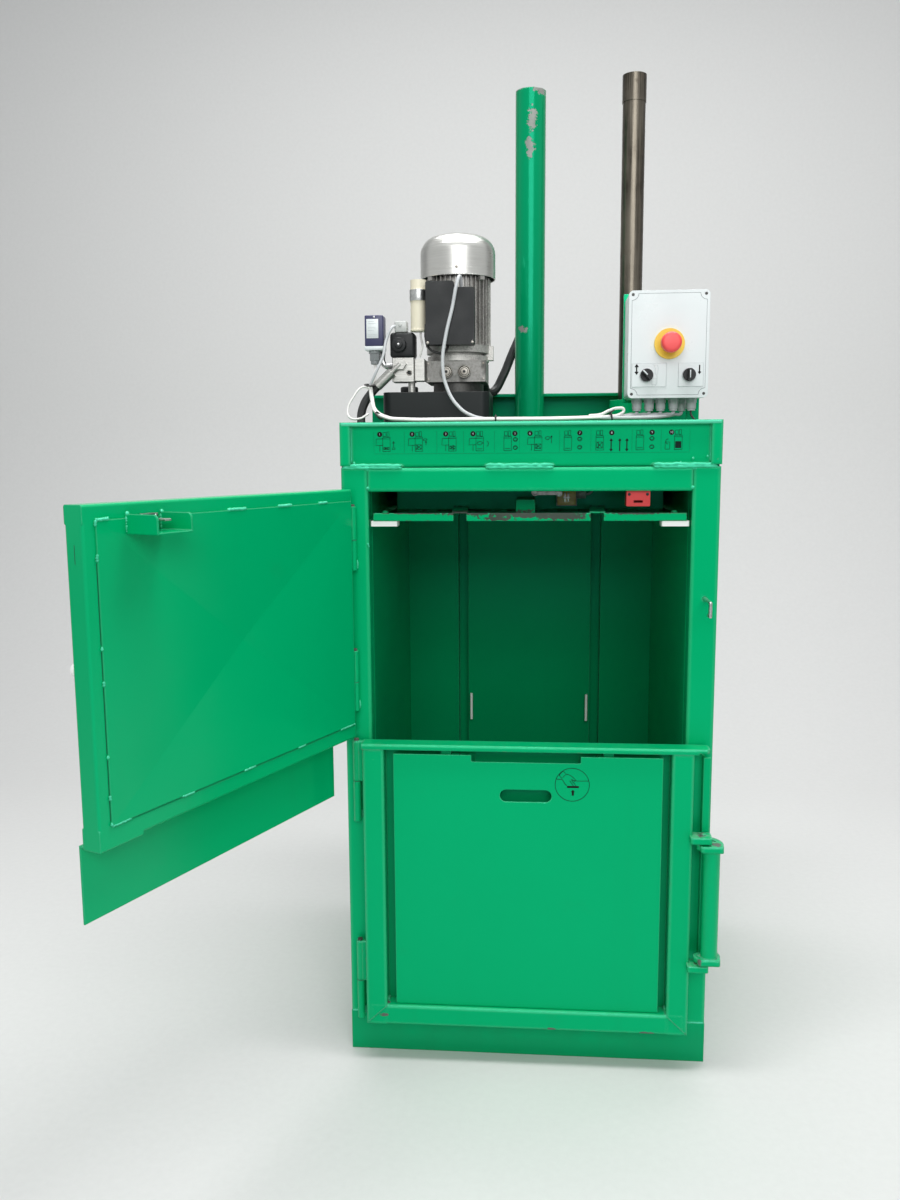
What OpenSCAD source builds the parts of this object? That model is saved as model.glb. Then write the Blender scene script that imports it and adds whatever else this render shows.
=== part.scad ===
// Small vertical recycling baler: a welded steel chamber on a plinth, a loading door over a
// bale gate, and a hydraulic cylinder that drives a platen down from the head.
// The origin is the centre of the footprint on the floor. X runs to the right, Y runs from
// the front into the machine, Z runs up. Sizes are millimetres.

/* [Body] */
// Width over the front posts
body_w = 760; // [750:1:770]
// Depth from the front posts to the back of the strap channels
body_d = 720; // [710:1:730]
// Height of the plinth, which is also the chamber floor
plinth_h = 88; // [84:1:92]
// Height of the front frame, where the top deck lies
frame_h = 1266; // [1264:1:1268]
// Height of the sign panel above the front frame
header_h = 1357; // [1350:1:1364]
// Width of a front post
post_w = 55; // [53:1:57]
// Depth of a front post
post_d = 50; // [48:1:52]
// Underside of the top tube, the top of the loading opening
opening_top = 1218; // [1216:1:1220]

/* [Door] */
// Angle of the loading door from closed, as it stands
door_open = 113.3; // [90:0.1:118]
// Length of the door from the hinge line to its free edge
door_len = 703; // [700:1:705]
// Height of the top edge of the door
door_top = 1224; // [1222:1:1228]
// Height of the lower rail of the door
door_low = 711; // [710:1:713]
// Drop of the skirt below the door
skirt_drop = 126; // [100:1:130]

/* [Gate] */
// Height of the top bar of the bale gate
gate_top = 702; // [700:1:703]
// Height of the lower edge of the bale gate
gate_low = 85; // [80:1:87]
// Width of a gate stile
stile_w = 44; // [40:1:46]

/* [Press] */
// Height of the top of the hydraulic cylinder
barrel_top = 2083; // [2060:1:2100]
// Outer radius of the cylinder barrel
barrel_r = 33.5; // [32:0.5:35]
// Radius of the guide rod
guide_r = 25; // [24:0.5:26]
// Height of the top of the guide rod
guide_top = 2113; // [2090:1:2130]
// Height of the underside of the raised platen
platen_low = 1158; // [1156:1:1160]

/* [Hidden] */
$fn = 48;

green = "#00a562";
dark_green = "#064d31";
steel = "#8f8f8a";
zinc = "#b9bcbc";
black = "#1d2022";
white = "#ececea";
grey = "#9aa0a2";

// Running clearance of a shaft in its hole, and the radius cut for a bolt
run = 0.05;
// Sheet and plate thicknesses
sheet = 3;
plate = 4;
thick = 5;

half_w = body_w / 2;
front_y = -body_d / 2;
post_in = half_w - post_w;
wall_out = post_in + plate;
back_y = body_d - 40;
deck_top = frame_h + plate;

// Hinge line of the door and the gate, before the left post
hinge_x = -half_w + 24;
hinge_y = -12;
knuckle_r = 8;
pin_r = 5;
// Each hinge: low end, split between the two knuckles, high end
door_hinges = [[765, 826, 892], [1059, 1121, 1189]];
gate_hinges = [[81, 168, 258], [526, 614, 701]];

// Door section: faces measured from the hinge line, inwards positive
door_near = 13;
door_in = 7;
door_out = -29;
door_rail = 30;
free_low = door_low - 5;
skirt_out = door_out - 9;

// Gate section, measured from the front of the posts
gate_front = -45;
gate_rear = -4;
gate_left = hinge_x + 17;
gate_right = 337;
top_bar_t = 12;
rail_top = gate_low + 42;
stile_top = gate_top - top_bar_t;
panel_y = -35;
slot_x = 132;
slot_w = 48;

// Latch lever pivot, before the right post, and its two levels
latch_x = half_w - 22;
latch_y = -44;
latch_pin_r = 6;
arm_low = 252;
arm_high = 494;
arm_t = 12.5;
tab_gap = 4;
claw_in = 30;
claw_out = 41;
claw_tip = 56;
keeper_x = half_w - 21.5;

// Press: the cylinder stands over the middle of the chamber, the rod beside it
ram_y = 330;
guide_x = 227;
guide_y = 340;
bore_r = 26;
rod_r = 17.5;
platen_w = 316;
platen_back = 660;
platen_t = 8;
platen_top = platen_low + platen_t;
collar_r = 43.5;
collar_top = 1413;
collar_bolts = [[-50, -45], [50, -45], [-50, 19], [50, 19]];
strap_front = 138;
strap_back = 178;
strap_w = 26;

// Power pack
motor_x = -153;
motor_y = 190;
motor_r = 70;
shaft_r = 9.5;
tank_top = 1422;
block_low = 1444;
block_top = 1488;
motor_low = 1510;
motor_top = 1661;
cover_r = 80;

// Control box
box_x0 = 199;
box_x1 = 356;
box_z0 = 1403;
box_z1 = 1611;
lid_y = 50;
box_y = 68;
box_back = 150;
estop_x = 279;
estop_z = 1508;
knob_z = 1447;
knob_left = 235;
knob_right = 319;
glands = [[221, 92], [246, 92], [269, 92], [295, 92], [314, 112], [331, 92]];

// Everything that is measured from the front of the posts
module at_front() { translate([0, front_y, 0]) children(); }

// The door at an angle from closed: X along the door, Y inwards, from the hinge line
module at_door(angle) {
    at_front() translate([hinge_x, hinge_y, 0]) rotate([0, 0, -angle]) children();
}

// A block between two opposite corners
module block(lo, hi) { translate(lo) cube(hi - lo); }

// A rectangle from the origin with round corners
module round_rect(w, h, r) {
    translate([r, 0]) square([w - 2 * r, h]);
    translate([0, r]) square([w, h - 2 * r]);
    for (x = [r, w - r], y = [r, h - r]) translate([x, y]) circle(r);
}

// Turns what stands along Z so that it runs along the named axis, between two corners
module along(axis, lo, hi) {
    if (axis == "z") translate(lo) children();
    if (axis == "x") translate(lo) rotate([90, 0, 90]) children();
    if (axis == "y") translate([lo.x, lo.y, hi.z]) rotate([-90, 0, 0]) children();
}

// Width, height and length of a box seen along an axis
function seen(axis, s) = axis == "z" ? [s.x, s.y, s.z] : axis == "x" ? [s.y, s.z, s.x] : [s.x, s.z, s.y];

// A solid bar between two corners whose long edges are round
module bar(lo, hi, axis, r) {
    s = seen(axis, hi - lo);
    along(axis, lo, hi) linear_extrude(s.z) round_rect(s.x, s.y, r);
}

// The same bar as a closed tube of wall t
module tube(lo, hi, axis, r, t) {
    difference() {
        bar(lo, hi, axis, r);
        block(lo + [t, t, t], hi - [t, t, t]);
    }
}

// A round bar from one point along an axis
module rod(at, axis, length, r) {
    turn = axis == "x" ? [0, 90, 0] : axis == "y" ? [-90, 0, 0] : [0, 0, 0];
    translate(at) rotate(turn) cylinder(r = r, h = length);
}

// A hexagon head of the given size across its flats
module hex_head(at, axis, length, flats) {
    turn = axis == "x" ? [0, 90, 0] : axis == "y" ? [-90, 0, 0] : [0, 0, 0];
    translate(at) rotate(turn) cylinder(r = flats / sqrt(3), h = length, $fn = 6);
}

function unit(v) = v / norm(v);

// Points of a smooth curve through the points of a route, with steps to each stretch
function pick(p, i) = p[max(0, min(len(p) - 1, i))];
function blend4(a, b, c, d, t) = 0.5 * (2 * b + (c - a) * t + (2 * a - 5 * b + 4 * c - d) * t * t
    + (3 * b - a - 3 * c + d) * t * t * t);
function smooth(p, steps) = [
    for (i = [0 : len(p) - 2], k = [0 : steps - 1])
        blend4(pick(p, i - 1), p[i], p[i + 1], pick(p, i + 2), k / steps),
    p[len(p) - 1]
];

// Ring normals carried along the curve without twist
function tangent(p, i) = unit(pick(p, i + 1) - pick(p, i - 1));
function first_normal(t) = unit(cross(t, abs(t.z) < 0.9 ? [0, 0, 1] : [1, 0, 0]));
function carried(p, i, n, out) = i == len(p) ? out
    : let (t = tangent(p, i), m = unit(n - (n * t) * t)) carried(p, i + 1, m, concat(out, [m]));

// A round hose or cable along a route
module hose(route, r, steps = 3, sides = 8) {
    p = smooth(route, steps);
    normals = carried(p, 0, first_normal(tangent(p, 0)), []);
    rings = [
        for (i = [0 : len(p) - 1], k = [0 : sides - 1])
            let (a = 360 * k / sides, n = normals[i], b = cross(tangent(p, i), n))
                p[i] + r * (cos(a) * n + sin(a) * b)
    ];
    side_faces = [
        for (i = [0 : len(p) - 2], k = [0 : sides - 1])
            let (a = i * sides + k, b = i * sides + (k + 1) % sides)
                [a, a + sides, b + sides, b]
    ];
    last = (len(p) - 1) * sides;
    ends = [[for (k = [0 : sides - 1]) k], [for (k = [sides - 1 : -1 : 0]) last + k]];
    polyhedron(points = rings, faces = concat(side_faces, ends), convexity = 6);
}

// Chamber

// Closed plinth: its lid is the chamber floor, its underside rests on the floor
module plinth() color(green) at_front() difference() {
    block([-half_w, 0, 0], [half_w, body_d, plinth_h]);
    block([-half_w + thick, thick, thick], [half_w - thick, body_d - thick, plinth_h - thick]);
    for (x = [-1, 1], y = [70, body_d - 70]) rod([x * (half_w - 60), y, -1], "z", thick + 2, 6);
}

module left_post() color(green) at_front()
    tube([-half_w, 0, plinth_h], [-post_in, post_d, frame_h], "z", 5, plate);

// The right post is bored for the turn catch and for two side bolts
catch_x = half_w - 26;
catch_z = 1003;
catch_r = 3.5;
side_bolt_z = [386, 406];
side_bolt_y = 24;
module right_post() color(green) at_front() difference() {
    tube([post_in, 0, plinth_h], [half_w, post_d, frame_h], "z", 5, plate);
    rod([catch_x, -1, catch_z], "y", plate + 2, catch_r + run);
    for (z = side_bolt_z) rod([half_w - plate - 1, side_bolt_y, z], "x", plate + 2, 5.5);
}

module top_tube() color(green) at_front()
    tube([-post_in, 0, opening_top], [post_in, post_d, frame_h], "x", 5, plate);

// Side wall sheet with three hollow ribs welded across its outside
rib_levels = [190, 540, 890];
rib_h = 60;
module side_wall() {
    block([post_in, post_d, plinth_h], [wall_out, back_y, frame_h]);
    for (z = rib_levels) difference() {
        block([wall_out, post_d, z], [half_w - 8, back_y - 10, z + rib_h]);
        block([wall_out - 1, post_d - 1, z + sheet], [half_w - 8 - sheet, back_y - 10 - sheet, z + rib_h - sheet]);
    }
}
module right_wall() color(green) at_front() side_wall();
module left_wall() color(green) at_front() mirror([1, 0, 0]) side_wall();

module rear_posts() color(green) at_front() for (side = [0, 1]) mirror([side, 0, 0])
    tube([wall_out, back_y - 10, plinth_h], [half_w, body_d, frame_h], "z", 5, plate);

// Back sheet with two folded strap channels behind it
channel_d = 36;
module back_wall() color(dark_green) at_front() difference() {
    union() {
        block([-wall_out, back_y, plinth_h], [wall_out, back_y + plate, frame_h]);
        for (x = [-strap_back, strap_back])
            block([x - strap_w / 2 - sheet, back_y, plinth_h], [x + strap_w / 2 + sheet, back_y + channel_d, frame_h]);
    }
    for (x = [-strap_back, strap_back])
        block([x - strap_w / 2, back_y - 1, plinth_h - 1], [x + strap_w / 2, back_y + channel_d - sheet, frame_h + 1]);
}

// Two bent rods on the back wall that hold the strap ends
hook_x = 156;
module strap_hooks() color(zinc) at_front() for (x = [-hook_x, hook_x]) {
    rod([x, back_y - 16, 572], "z", 73, 3.5);
    for (z = [586, 634]) rod([x, back_y - 16, z], "y", 16, 3);
}

// Sign panel between two cheeks, standing on weld pads on the front frame
cheek_back = 366;
cheek_lip = 21;
module header() color(green) at_front() {
    in = half_w - cheek_lip;
    block([-in, 8, frame_h + 2], [in, 8 + sheet, header_h]);
    block([-in, -4, header_h - sheet], [in, 8, header_h]);
    block([-in, -4, header_h - 8], [in, -1, header_h]);
    for (x = [[-378, -254], [-86, 51], [246, 373]])
        block([x[0], 1, frame_h], [x[1], 11, frame_h + 4]);
    for (side = [0, 1]) mirror([side, 0, 0]) {
        block([in, -4, frame_h + 4], [half_w, 0, header_h]);
        block([in, 0, frame_h + 4], [in + sheet, 11, header_h]);
        block([half_w - plate, 0, frame_h + 4], [half_w, cheek_back, header_h]);
    }
}

// Rear channel beam, two rails to it from the front, and the seat of the cylinder
beam_y = 370;
beam_h = 162;
beam_t = 7;
rail_z = deck_top + beam_t;
seat_z = rail_z + 40;
seat_t = 15;
module press_head() color(green) at_front() {
    difference() {
        block([-half_w, beam_y, deck_top], [half_w, beam_y + 62, deck_top + beam_h]);
        block([-half_w - 1, beam_y - 1, deck_top + beam_t], [half_w + 1, beam_y + 55, deck_top + beam_h - beam_t]);
        rod([guide_x, guide_y, deck_top - 1], "z", beam_t + 2, collar_r + 1);
    }
    for (x = [-76, 36]) {
        tube([x, 14, rail_z], [x + 40, beam_y + 55, rail_z + 40], "y", 4, plate);
        block([x, 14, deck_top], [x + 40, 54, rail_z]);
    }
    difference() {
        block([-78, ram_y - 80, seat_z], [78, beam_y + 54, seat_z + seat_t]);
        rod([0, ram_y, seat_z - 1], "z", seat_t + 2, barrel_r + 0.5);
        for (a = [45 : 90 : 315])
            rod([50 * cos(a), ram_y + 50 * sin(a), seat_z - 1], "z", seat_t + 2, 6);
    }
}

cable_holes = [[250, 62], [142, 193]];
module top_deck() color(green) at_front() difference() {
    block([-half_w + 2, 12, frame_h], [half_w - 2, body_d, deck_top]);
    rod([0, ram_y, frame_h - 1], "z", plate + 2, barrel_r + 5);
    rod([guide_x, guide_y, frame_h - 1], "z", plate + 2, guide_r + 3);
    for (c = cable_holes) rod([c.x, c.y, frame_h - 1], "z", plate + 2, 6);
    for (b = collar_bolts) rod([guide_x + b.x, guide_y + b.y, frame_h - 1], "z", plate + 2, 5);
}

// Hinges

// Knuckle of a weld-on hinge round the hinge line, with a bore
module knuckle(z0, z1, bore) difference() {
    union() {
        rod([0, 0, z0], "z", z1 - z0, knuckle_r);
        children();
    }
    rod([0, 0, z0 - 1], "z", z1 - z0 + 2, bore);
}

module hinge_knuckles() color(green) at_front() translate([hinge_x, hinge_y, 0])
    for (h = concat(door_hinges, gate_hinges)) knuckle(h[0], h[1] - 0.3, pin_r)
        block([-6, 0, h[0]], [6, -hinge_y, h[1] - 0.3]);

module hinge_pins() color(steel) at_front() translate([hinge_x, hinge_y, 0])
    for (h = concat(door_hinges, gate_hinges)) rod([0, 0, h[0]], "z", h[2] + 4 - h[0], pin_r);

// Angle on the right post that the claws of the gate latch hook behind
module latch_keeper() color(green) at_front() {
    block([keeper_x, -24, 240], [keeper_x + 4, 0, 680]);
    block([keeper_x, -24, 240], [keeper_x + 14, -20, 680]);
}

// Bolts of the machine body: two through the right post, four at the cylinder, four at the collar
module frame_bolts() color(black) at_front() {
    for (z = side_bolt_z) {
        hex_head([half_w, side_bolt_y, z], "x", 7, 17);
        rod([half_w - plate, side_bolt_y, z], "x", 28, 5);
    }
    for (a = [45 : 90 : 315]) translate([50 * cos(a), ram_y + 50 * sin(a), 0]) {
        hex_head([0, 0, seat_z + seat_t + 12], "z", 8, 18);
        rod([0, 0, seat_z], "z", seat_t + 12, 5.5);
    }
    for (b = collar_bolts) translate([guide_x + b.x, guide_y + b.y, 0]) {
        hex_head([0, 0, deck_top + 10], "z", 7, 15);
        rod([0, 0, frame_h], "z", plate + 10, 4.5);
    }
}

// Press

module guide_collar() color(green) at_front() difference() {
    union() {
        block([guide_x - 60, guide_y - 60, deck_top], [guide_x + 60, beam_y - 1, deck_top + 10]);
        rod([guide_x, guide_y, deck_top], "z", collar_top - deck_top, collar_r);
    }
    rod([guide_x, guide_y, deck_top - 1], "z", collar_top - deck_top + 2, guide_r + run);
    for (b = collar_bolts) rod([guide_x + b.x, guide_y + b.y, deck_top - 1], "z", 12, 5);
}

// Cylinder barrel, closed on top, with its mounting flange and two ports at the back
barrel_low = 1250;
port_low = 1365;
port_high = 2040;
module cylinder_barrel() color(green) at_front() translate([0, ram_y, 0]) difference() {
    union() {
        rod([0, 0, barrel_low], "z", barrel_top - barrel_low, barrel_r);
        rod([0, 0, seat_z + seat_t], "z", 12, 65);
        for (z = [port_low, port_high]) rod([0, 0, z], "y", 47, 11);
    }
    rod([0, 0, barrel_low - 1], "z", barrel_top - 25 - barrel_low + 1, bore_r);
    for (z = [port_low, port_high]) rod([0, 15, z], "y", 40, 5);
    for (a = [45 : 90 : 315])
        rod([50 * cos(a), 50 * sin(a), seat_z], "z", seat_t + 20, 6);
}

module cylinder_gland() color(steel) at_front() translate([0, ram_y, 0]) difference() {
    union() {
        rod([0, 0, barrel_low - 10], "z", 10, barrel_r);
        rod([0, 0, barrel_low], "z", 45, bore_r);
    }
    rod([0, 0, barrel_low - 11], "z", 60, rod_r + run);
}

// Pressure hose from the pump block up to the hard line, and hose from the valve to the low port
pressure_route = [[-105, 240, 1470], [-105, 262, 1470], [-103, 300, 1452], [-96, 336, 1434],
    [-82, 356, 1438], [-62, 364, 1472], [-42, 368, 1520], [-20, 376, 1572], [-5, 388, 1622],
    [0, 392, 1665], [0, 392, 1690]];
return_route = [[-317, 96, 1434], [-330, 96, 1420], [-346, 92, 1394], [-350, 84, 1362],
    [-340, 72, 1340], [-300, 66, 1334], [-200, 66, 1334], [-110, 66, 1336], [-76, 84, 1342],
    [-68, 130, 1350], [-67, 240, 1358], [-67, 330, 1362], [-62, 378, 1364], [-42, 402, 1365],
    [-14, 404, 1365], [0, 392, 1365], [0, 377, 1365]];
module hydraulic_hoses() color(black) at_front() {
    hose(pressure_route, 10, 2, 10);
    hose(return_route, 9, 2, 10);
}

// Steel pipe up the back of the barrel, with its ferrules
module hard_line() color(zinc) at_front() {
    rod([0, 392, 1690], "z", port_high - 1690, 6);
    rod([0, 392, 1690], "z", 22, 11);
    rod([0, 377, port_high], "y", 15, 9);
    translate([0, 392, port_high]) sphere(r = 9);
}

// Power pack

module oil_tank() color(black) at_front() difference() {
    bar([-306, 95, deck_top], [-82, 305, tank_top], "z", 18);
    block([-300, 101, deck_top + 4], [-88, 299, tank_top - 5]);
    rod([motor_x, motor_y, tank_top - 6], "z", 8, 41);
    rod([-270, 270, tank_top - 6], "z", 8, 10);
}

// Gear pump under its bell housing, with the suction strainer in the tank
module pump_unit() color(black) at_front() translate([motor_x, motor_y, 0]) difference() {
    union() {
        rod([0, 0, tank_top], "z", block_low - tank_top, 54);
        block([-27, -27, 1325], [27, 27, tank_top]);
        rod([0, 0, 1285], "z", 40, 26);
    }
    rod([0, 0, 1400], "z", 60, shaft_r + 0.6);
}

// Machined manifold block with two front ports and a bore for the shaft
module pump_block() color(zinc) at_front() difference() {
    union() {
        bar([-218, 128, block_low], [-90, 250, block_top], "z", 4);
        for (x = [-174, -136]) rod([x, 122, 1465], "y", 8, 14);
    }
    rod([motor_x, motor_y, block_low - 1], "z", 60, 30);
    for (x = [-174, -136]) {
        rod([x, 121, 1465], "y", 3, 11);
        rod([x, 120, 1465], "y", 20, 4.5);
    }
    rod([-105, 240, 1470], "y", 12, 10);
}

// Finned motor case: foot flange, ribs round the case, end shields with shaft bores
fins = 40;
fin_t = 2.4;
module motor_body() color(zinc) at_front() translate([motor_x, motor_y, 0]) difference() {
    union() {
        rod([0, 0, block_top], "z", 12, 66);
        rod([0, 0, block_top], "z", motor_low - block_top + 6, 56);
        rod([0, 0, motor_low - 4], "z", 16, 68);
        rod([0, 0, motor_low], "z", motor_top - motor_low, 61);
        translate([0, 0, motor_low + 12]) linear_extrude(motor_top - motor_low - 12) union() {
            circle(60);
            for (k = [0 : fins - 1]) rotate(360 * k / fins) translate([50, -fin_t / 2]) square([motor_r - 50, fin_t]);
        }
        block([60, -14, block_top + 4], [76, 10, block_top + 34]);
        block([-38, -70, 1530], [38, -50, 1622]);
        for (a = [45 : 90 : 315]) rotate([0, 0, a]) block([55, -6, motor_top - 8], [cover_r - 1.5, 6, motor_top + 6]);
    }
    rod([0, 0, motor_low + 10], "z", motor_top - motor_low - 20, 48);
    rod([0, 0, block_top - 1], "z", motor_top - block_top + 20, shaft_r + run);
}

// Spun aluminium fan cover: a domed shell open at the bottom
dome_r = 38;
function dome(r, top, wall) = concat(
    [[0, top - wall]],
    [for (a = [90 : -10 : 0]) [r - dome_r + (dome_r - wall) * cos(a), top - dome_r + (dome_r - wall) * sin(a)]],
    [[r - wall, motor_top], [r, motor_top]],
    [for (a = [0 : 10 : 90]) [r - dome_r + dome_r * cos(a), top - dome_r + dome_r * sin(a)]],
    [[0, top]]);
module fan_cover() color(zinc) at_front() translate([motor_x, motor_y, 0])
    rotate_extrude($fn = 72) polygon(dome(cover_r, 1750, 1.5));

// Terminal box with its lid: the top right corner steps down where the cable comes in
module terminal_box() color(black) at_front() difference() {
    union() {
        bar([-211, 94, 1517], [-113, 120, 1629], "y", 3);
        bar([-211, 94, 1600], [-155, 120, 1642], "y", 3);
        bar([-212, 78, 1516], [-112, 94, 1630], "y", 4);
        bar([-212, 78, 1600], [-154, 94, 1643], "y", 4);
    }
    block([-207, 82, 1521], [-117, 117, 1625]);
    rod([-140, 104, 1620], "z", 12, 3.6);
}

// Run capacitor in its clamp
module capacitor() color("#e8e2c8") at_front() {
    rod([-230, 112, 1547], "z", 103, 16.5);
    rod([-230, 112, 1607], "z", 24, 18);
    block([-214, 106, 1610], [-211, 118, 1628]);
}

// Valve block on its pillar, with the angled hose fitting and its crimped sleeve
module valve_block() color(zinc) at_front() {
    difference() {
        union() {
            bar([-286, 104, block_low], [-240, 154, 1493], "z", 2);
            bar([-240, 110, block_low + 2], [-218, 150, 1490], "z", 2);
        }
        rod([-250, 103, 1462], "y", 10, 4);
    }
    rod([-248, 130, tank_top], "z", block_low - tank_top, 7.5);
    hex_head([-268, 92, 1480], "y", 12, 22);
    translate([-268, 96, 1480]) rotate([0, -133, 0]) {
        cylinder(r = 5.5, h = 30);
        translate([0, 0, 24]) cylinder(r = 10.5, h = 43);
    }
}

// Solenoid coil with its front nut, and the plug on top of it
module solenoid_coil() color(black) at_front() {
    bar([-290, 102, 1493], [-238, 150, 1545], "y", 10);
    rod([-270, 90, 1519], "y", 12, 15);
    rod([-270, 86, 1519], "y", 5, 7);
    color(grey) bar([-280, 104, 1545], [-254, 132, 1568], "z", 2);
}

// Pressure switch standing on a pipe elbow from the valve block, with its cable gland
module pressure_switch() color("#3c3f78") at_front() {
    bar([-342, 98, 1509], [-303, 138, 1580], "z", 4);
    hex_head([-324, 116, 1494], "z", 15, 22);
    rod([-324, 116, 1480], "z", 14, 10);
    rod([-309, 132, 1479], "z", 30, 6);
    rod([-309, 132, 1479], "x", 23, 6);
}

// Control box

module box_base() color(white) at_front() difference() {
    bar([box_x0, box_y, box_z0], [box_x1, box_back, box_z1], "y", 8);
    bar([box_x0 + sheet, box_y - 1, box_z0 + sheet], [box_x1 - sheet, box_back - sheet, box_z1 - sheet], "y", 6);
    for (g = glands) rod([g[0], g[1], box_z0 - 1], "z", sheet + 2, 8);
}

// Lid with a low rim line, four screw wells, holes for the controls and two label plates
module box_lid() color(white) at_front() difference() {
    union() {
        bar([box_x0 - 1, lid_y, box_z0 - 1], [box_x1 + 1, box_y, box_z1 + 1], "y", 9);
        block([206, lid_y - 1, 1424], [274, lid_y, 1470]);
        block([298, lid_y - 1, 1424], [347, lid_y, 1470]);
    }
    bar([box_x0 + 3, lid_y + 3, box_z0 + 3], [box_x1 - 3, box_y + 1, box_z1 - 3], "y", 6);
    for (x = [box_x0 + 7, box_x1 - 7], z = [box_z0 + 7, box_z1 - 7]) rod([x, lid_y - 1, z], "y", 3, 3);
    for (x = [knob_left, knob_right]) rod([x, lid_y - 2, knob_z], "y", 10, 5 + run);
    rod([estop_x, lid_y - 1, estop_z], "y", 10, 11 + run);
}

// Contactor, timer and terminals on a rail inside the box
module control_gear() color(grey) at_front() {
    block([box_x0 + 12, box_back - 11, 1522], [box_x1 - 12, box_back - 3, 1557]);
    block([212, 100, 1517], [257, box_back - 11, 1592]);
    block([262, 108, 1517], [300, box_back - 11, 1587]);
    block([306, 112, 1520], [340, box_back - 11, 1565]);
}

// Flat steel bracket that carries the box from the deck
module box_bracket() color(green) at_front() {
    block([196, box_back, 1398], [352, box_back + thick, 1620]);
    block([330, box_back, deck_top], [356, box_back + thick, 1398]);
    block([330, box_back + thick, deck_top], [356, box_back + 45, deck_top + thick]);
    block([352, box_back, 1398], [356, box_back + thick, 1420]);
}

module estop_disc() color("gold") at_front() difference() {
    rod([estop_x, lid_y - 4, estop_z], "y", 4, 30);
    rod([estop_x, lid_y - 5, estop_z], "y", 6, 11 + run);
}

module cable_glands() color(grey) at_front() for (g = glands) translate([g[0], g[1], 0]) difference() {
    union() {
        hex_head([0, 0, box_z0 - 9], "z", 9, 19);
        rod([0, 0, box_z0 - 21], "z", 13, 9.5);
        rod([0, 0, box_z0 - 25], "z", 5, 8);
        rod([0, 0, box_z0 - 1], "z", 6, 8);
    }
    rod([0, 0, box_z0 - 26], "z", 34, 3.5);
}

// Cables: six from the glands into one loom along the header, then up to the power pack
loom_y = 22;
loom_z = header_h + 6;
gland_end = box_z0 - 25;
function gland_route(g, k) = [[g[0], g[1], gland_end + 3], [g[0], g[1], gland_end - 5],
    [g[0] - 12, g[1] - 16, loom_z + 7 + (k % 2) * 3], [g[0] - 38, 44 + 3 * k, loom_z + 3 + (k % 3) * 3],
    [170, loom_y + 2 + 3 * (k % 3), loom_z + 1 + (k % 2) * 3], [140, loom_y, loom_z]];
loom_route = [[145, loom_y, loom_z], [60, loom_y, loom_z - 2], [-60, loom_y, loom_z - 2],
    [-160, loom_y, loom_z - 2], [-250, loom_y + 4, loom_z - 1], [-292, loom_y + 20, loom_z + 4],
    [-316, 56, loom_z + 18], [-326, 74, loom_z + 44], [-330, 80, loom_z + 72]];
switch_route = [[-330, 80, loom_z + 70], [-322, 96, loom_z + 88], [-322, 108, loom_z + 104], [-324, 116, 1481]];
coil_route = [[-330, 80, loom_z + 70], [-316, 76, 1462], [-302, 82, 1494], [-295, 91, 1530],
    [-284, 97, 1554], [-279, 106, 1558]];
loop_route = [[-330, 78, loom_z + 66], [-342, 70, 1432], [-362, 60, 1410], [-372, 50, 1384],
    [-366, 42, 1368], [-348, 44, 1366], [-330, 56, 1376]];
motor_route = [[-140, 104, 1618], [-140, 96, 1640], [-142, 84, 1652], [-146, 74, 1640], [-156, 70, 1590],
    [-170, 66, 1530], [-176, 62, 1480], [-168, 58, 1430], [-140, 44, 1386], [-110, 30, 1368], [-90, loom_y, loom_z]];
jumper_route = [[-226, 112, 1549], [-226, 112, 1538], [-222, 106, 1518], [-204, 102, 1502],
    [-184, 102, 1499], [-170, 104, 1509], [-167, 104, 1520]];
lead_route = [[331, 92, 1381], [331, 92, 1371], [344, 88, 1354], [358, 78, 1336], [352, 66, 1306],
    [320, 62, 1286], [280, 62, 1280], [256, 62, 1276], [250, 62, 1260], [244, 60, 1236],
    [234, 56, 1212], [230, 46, 1204], [230, 43, 1203]];
limit_route = [[121, 193, 1205], [132, 193, 1206], [142, 193, 1222], [142, 193, 1262],
    [142, 190, 1300], [142, 120, 1342], [142, 60, 1366], [138, 26, 1364], [120, 22, 1362]];
module cable_loom() color(grey) at_front() {
    for (k = [0 : len(glands) - 2]) hose(gland_route(glands[k], k), 3.4, 2, 8);
    hose(loom_route, 5.5, 2, 8);
    hose(switch_route, 3, 2, 8);
    hose(coil_route, 3, 2, 8);
    hose(loop_route, 2.2, 2, 8);
    hose(motor_route, 3.6, 2, 8);
    hose(jumper_route, 2.5, 2, 8);
    hose(lead_route, 2, 2, 8);
    hose(limit_route, 3, 2, 8);
}

// Switches

// Coded safety switch under the top tube, with a slot for the key on the door
switch_x = 220;
key_z = 1196.5;
module safety_switch() color("red") at_front() difference() {
    bar([switch_x - 23.5, 12, 1187], [switch_x + 23.5, 46, opening_top], "y", 2);
    block([switch_x - 9, 11, key_z - 2.5], [switch_x + 9, 40, key_z + 2.5]);
    for (x = [-18, 18]) rod([switch_x + x, 11, 1211], "y", 8, 2.6);
}

// Limit switch hanging from the deck, with its window and gland, and the stub of the lever
lever_y = 176;
lever_x = 66;
lever_z = 1208;
module limit_switch() color(grey) at_front() difference() {
    union() {
        bar([60, lever_y, 1180], [105, lever_y + 34, frame_h], "y", 2);
        rod([105, lever_y + 17, 1205], "x", 20, 8);
        rod([lever_x + 6, lever_y - 1, 1196], "y", 2, 2);
    }
    rod([lever_x, lever_y - 1, lever_z], "y", 16, 3 + run);
}

// Roller lever of the limit switch, just above the platen
module limit_lever() color(zinc) at_front() {
    difference() {
        union() {
            rod([lever_x, lever_y - 7, lever_z], "y", 4, 6);
            block([14, lever_y - 7, lever_z - 4], [lever_x, lever_y - 3, lever_z + 4]);
            rod([14, lever_y - 7, lever_z], "y", 4, 6);
        }
    }
    rod([lever_x, lever_y - 8, lever_z], "y", 20, 3);
    rod([14, lever_y - 14, lever_z + 2], "y", 8, 7.5);
}

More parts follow.
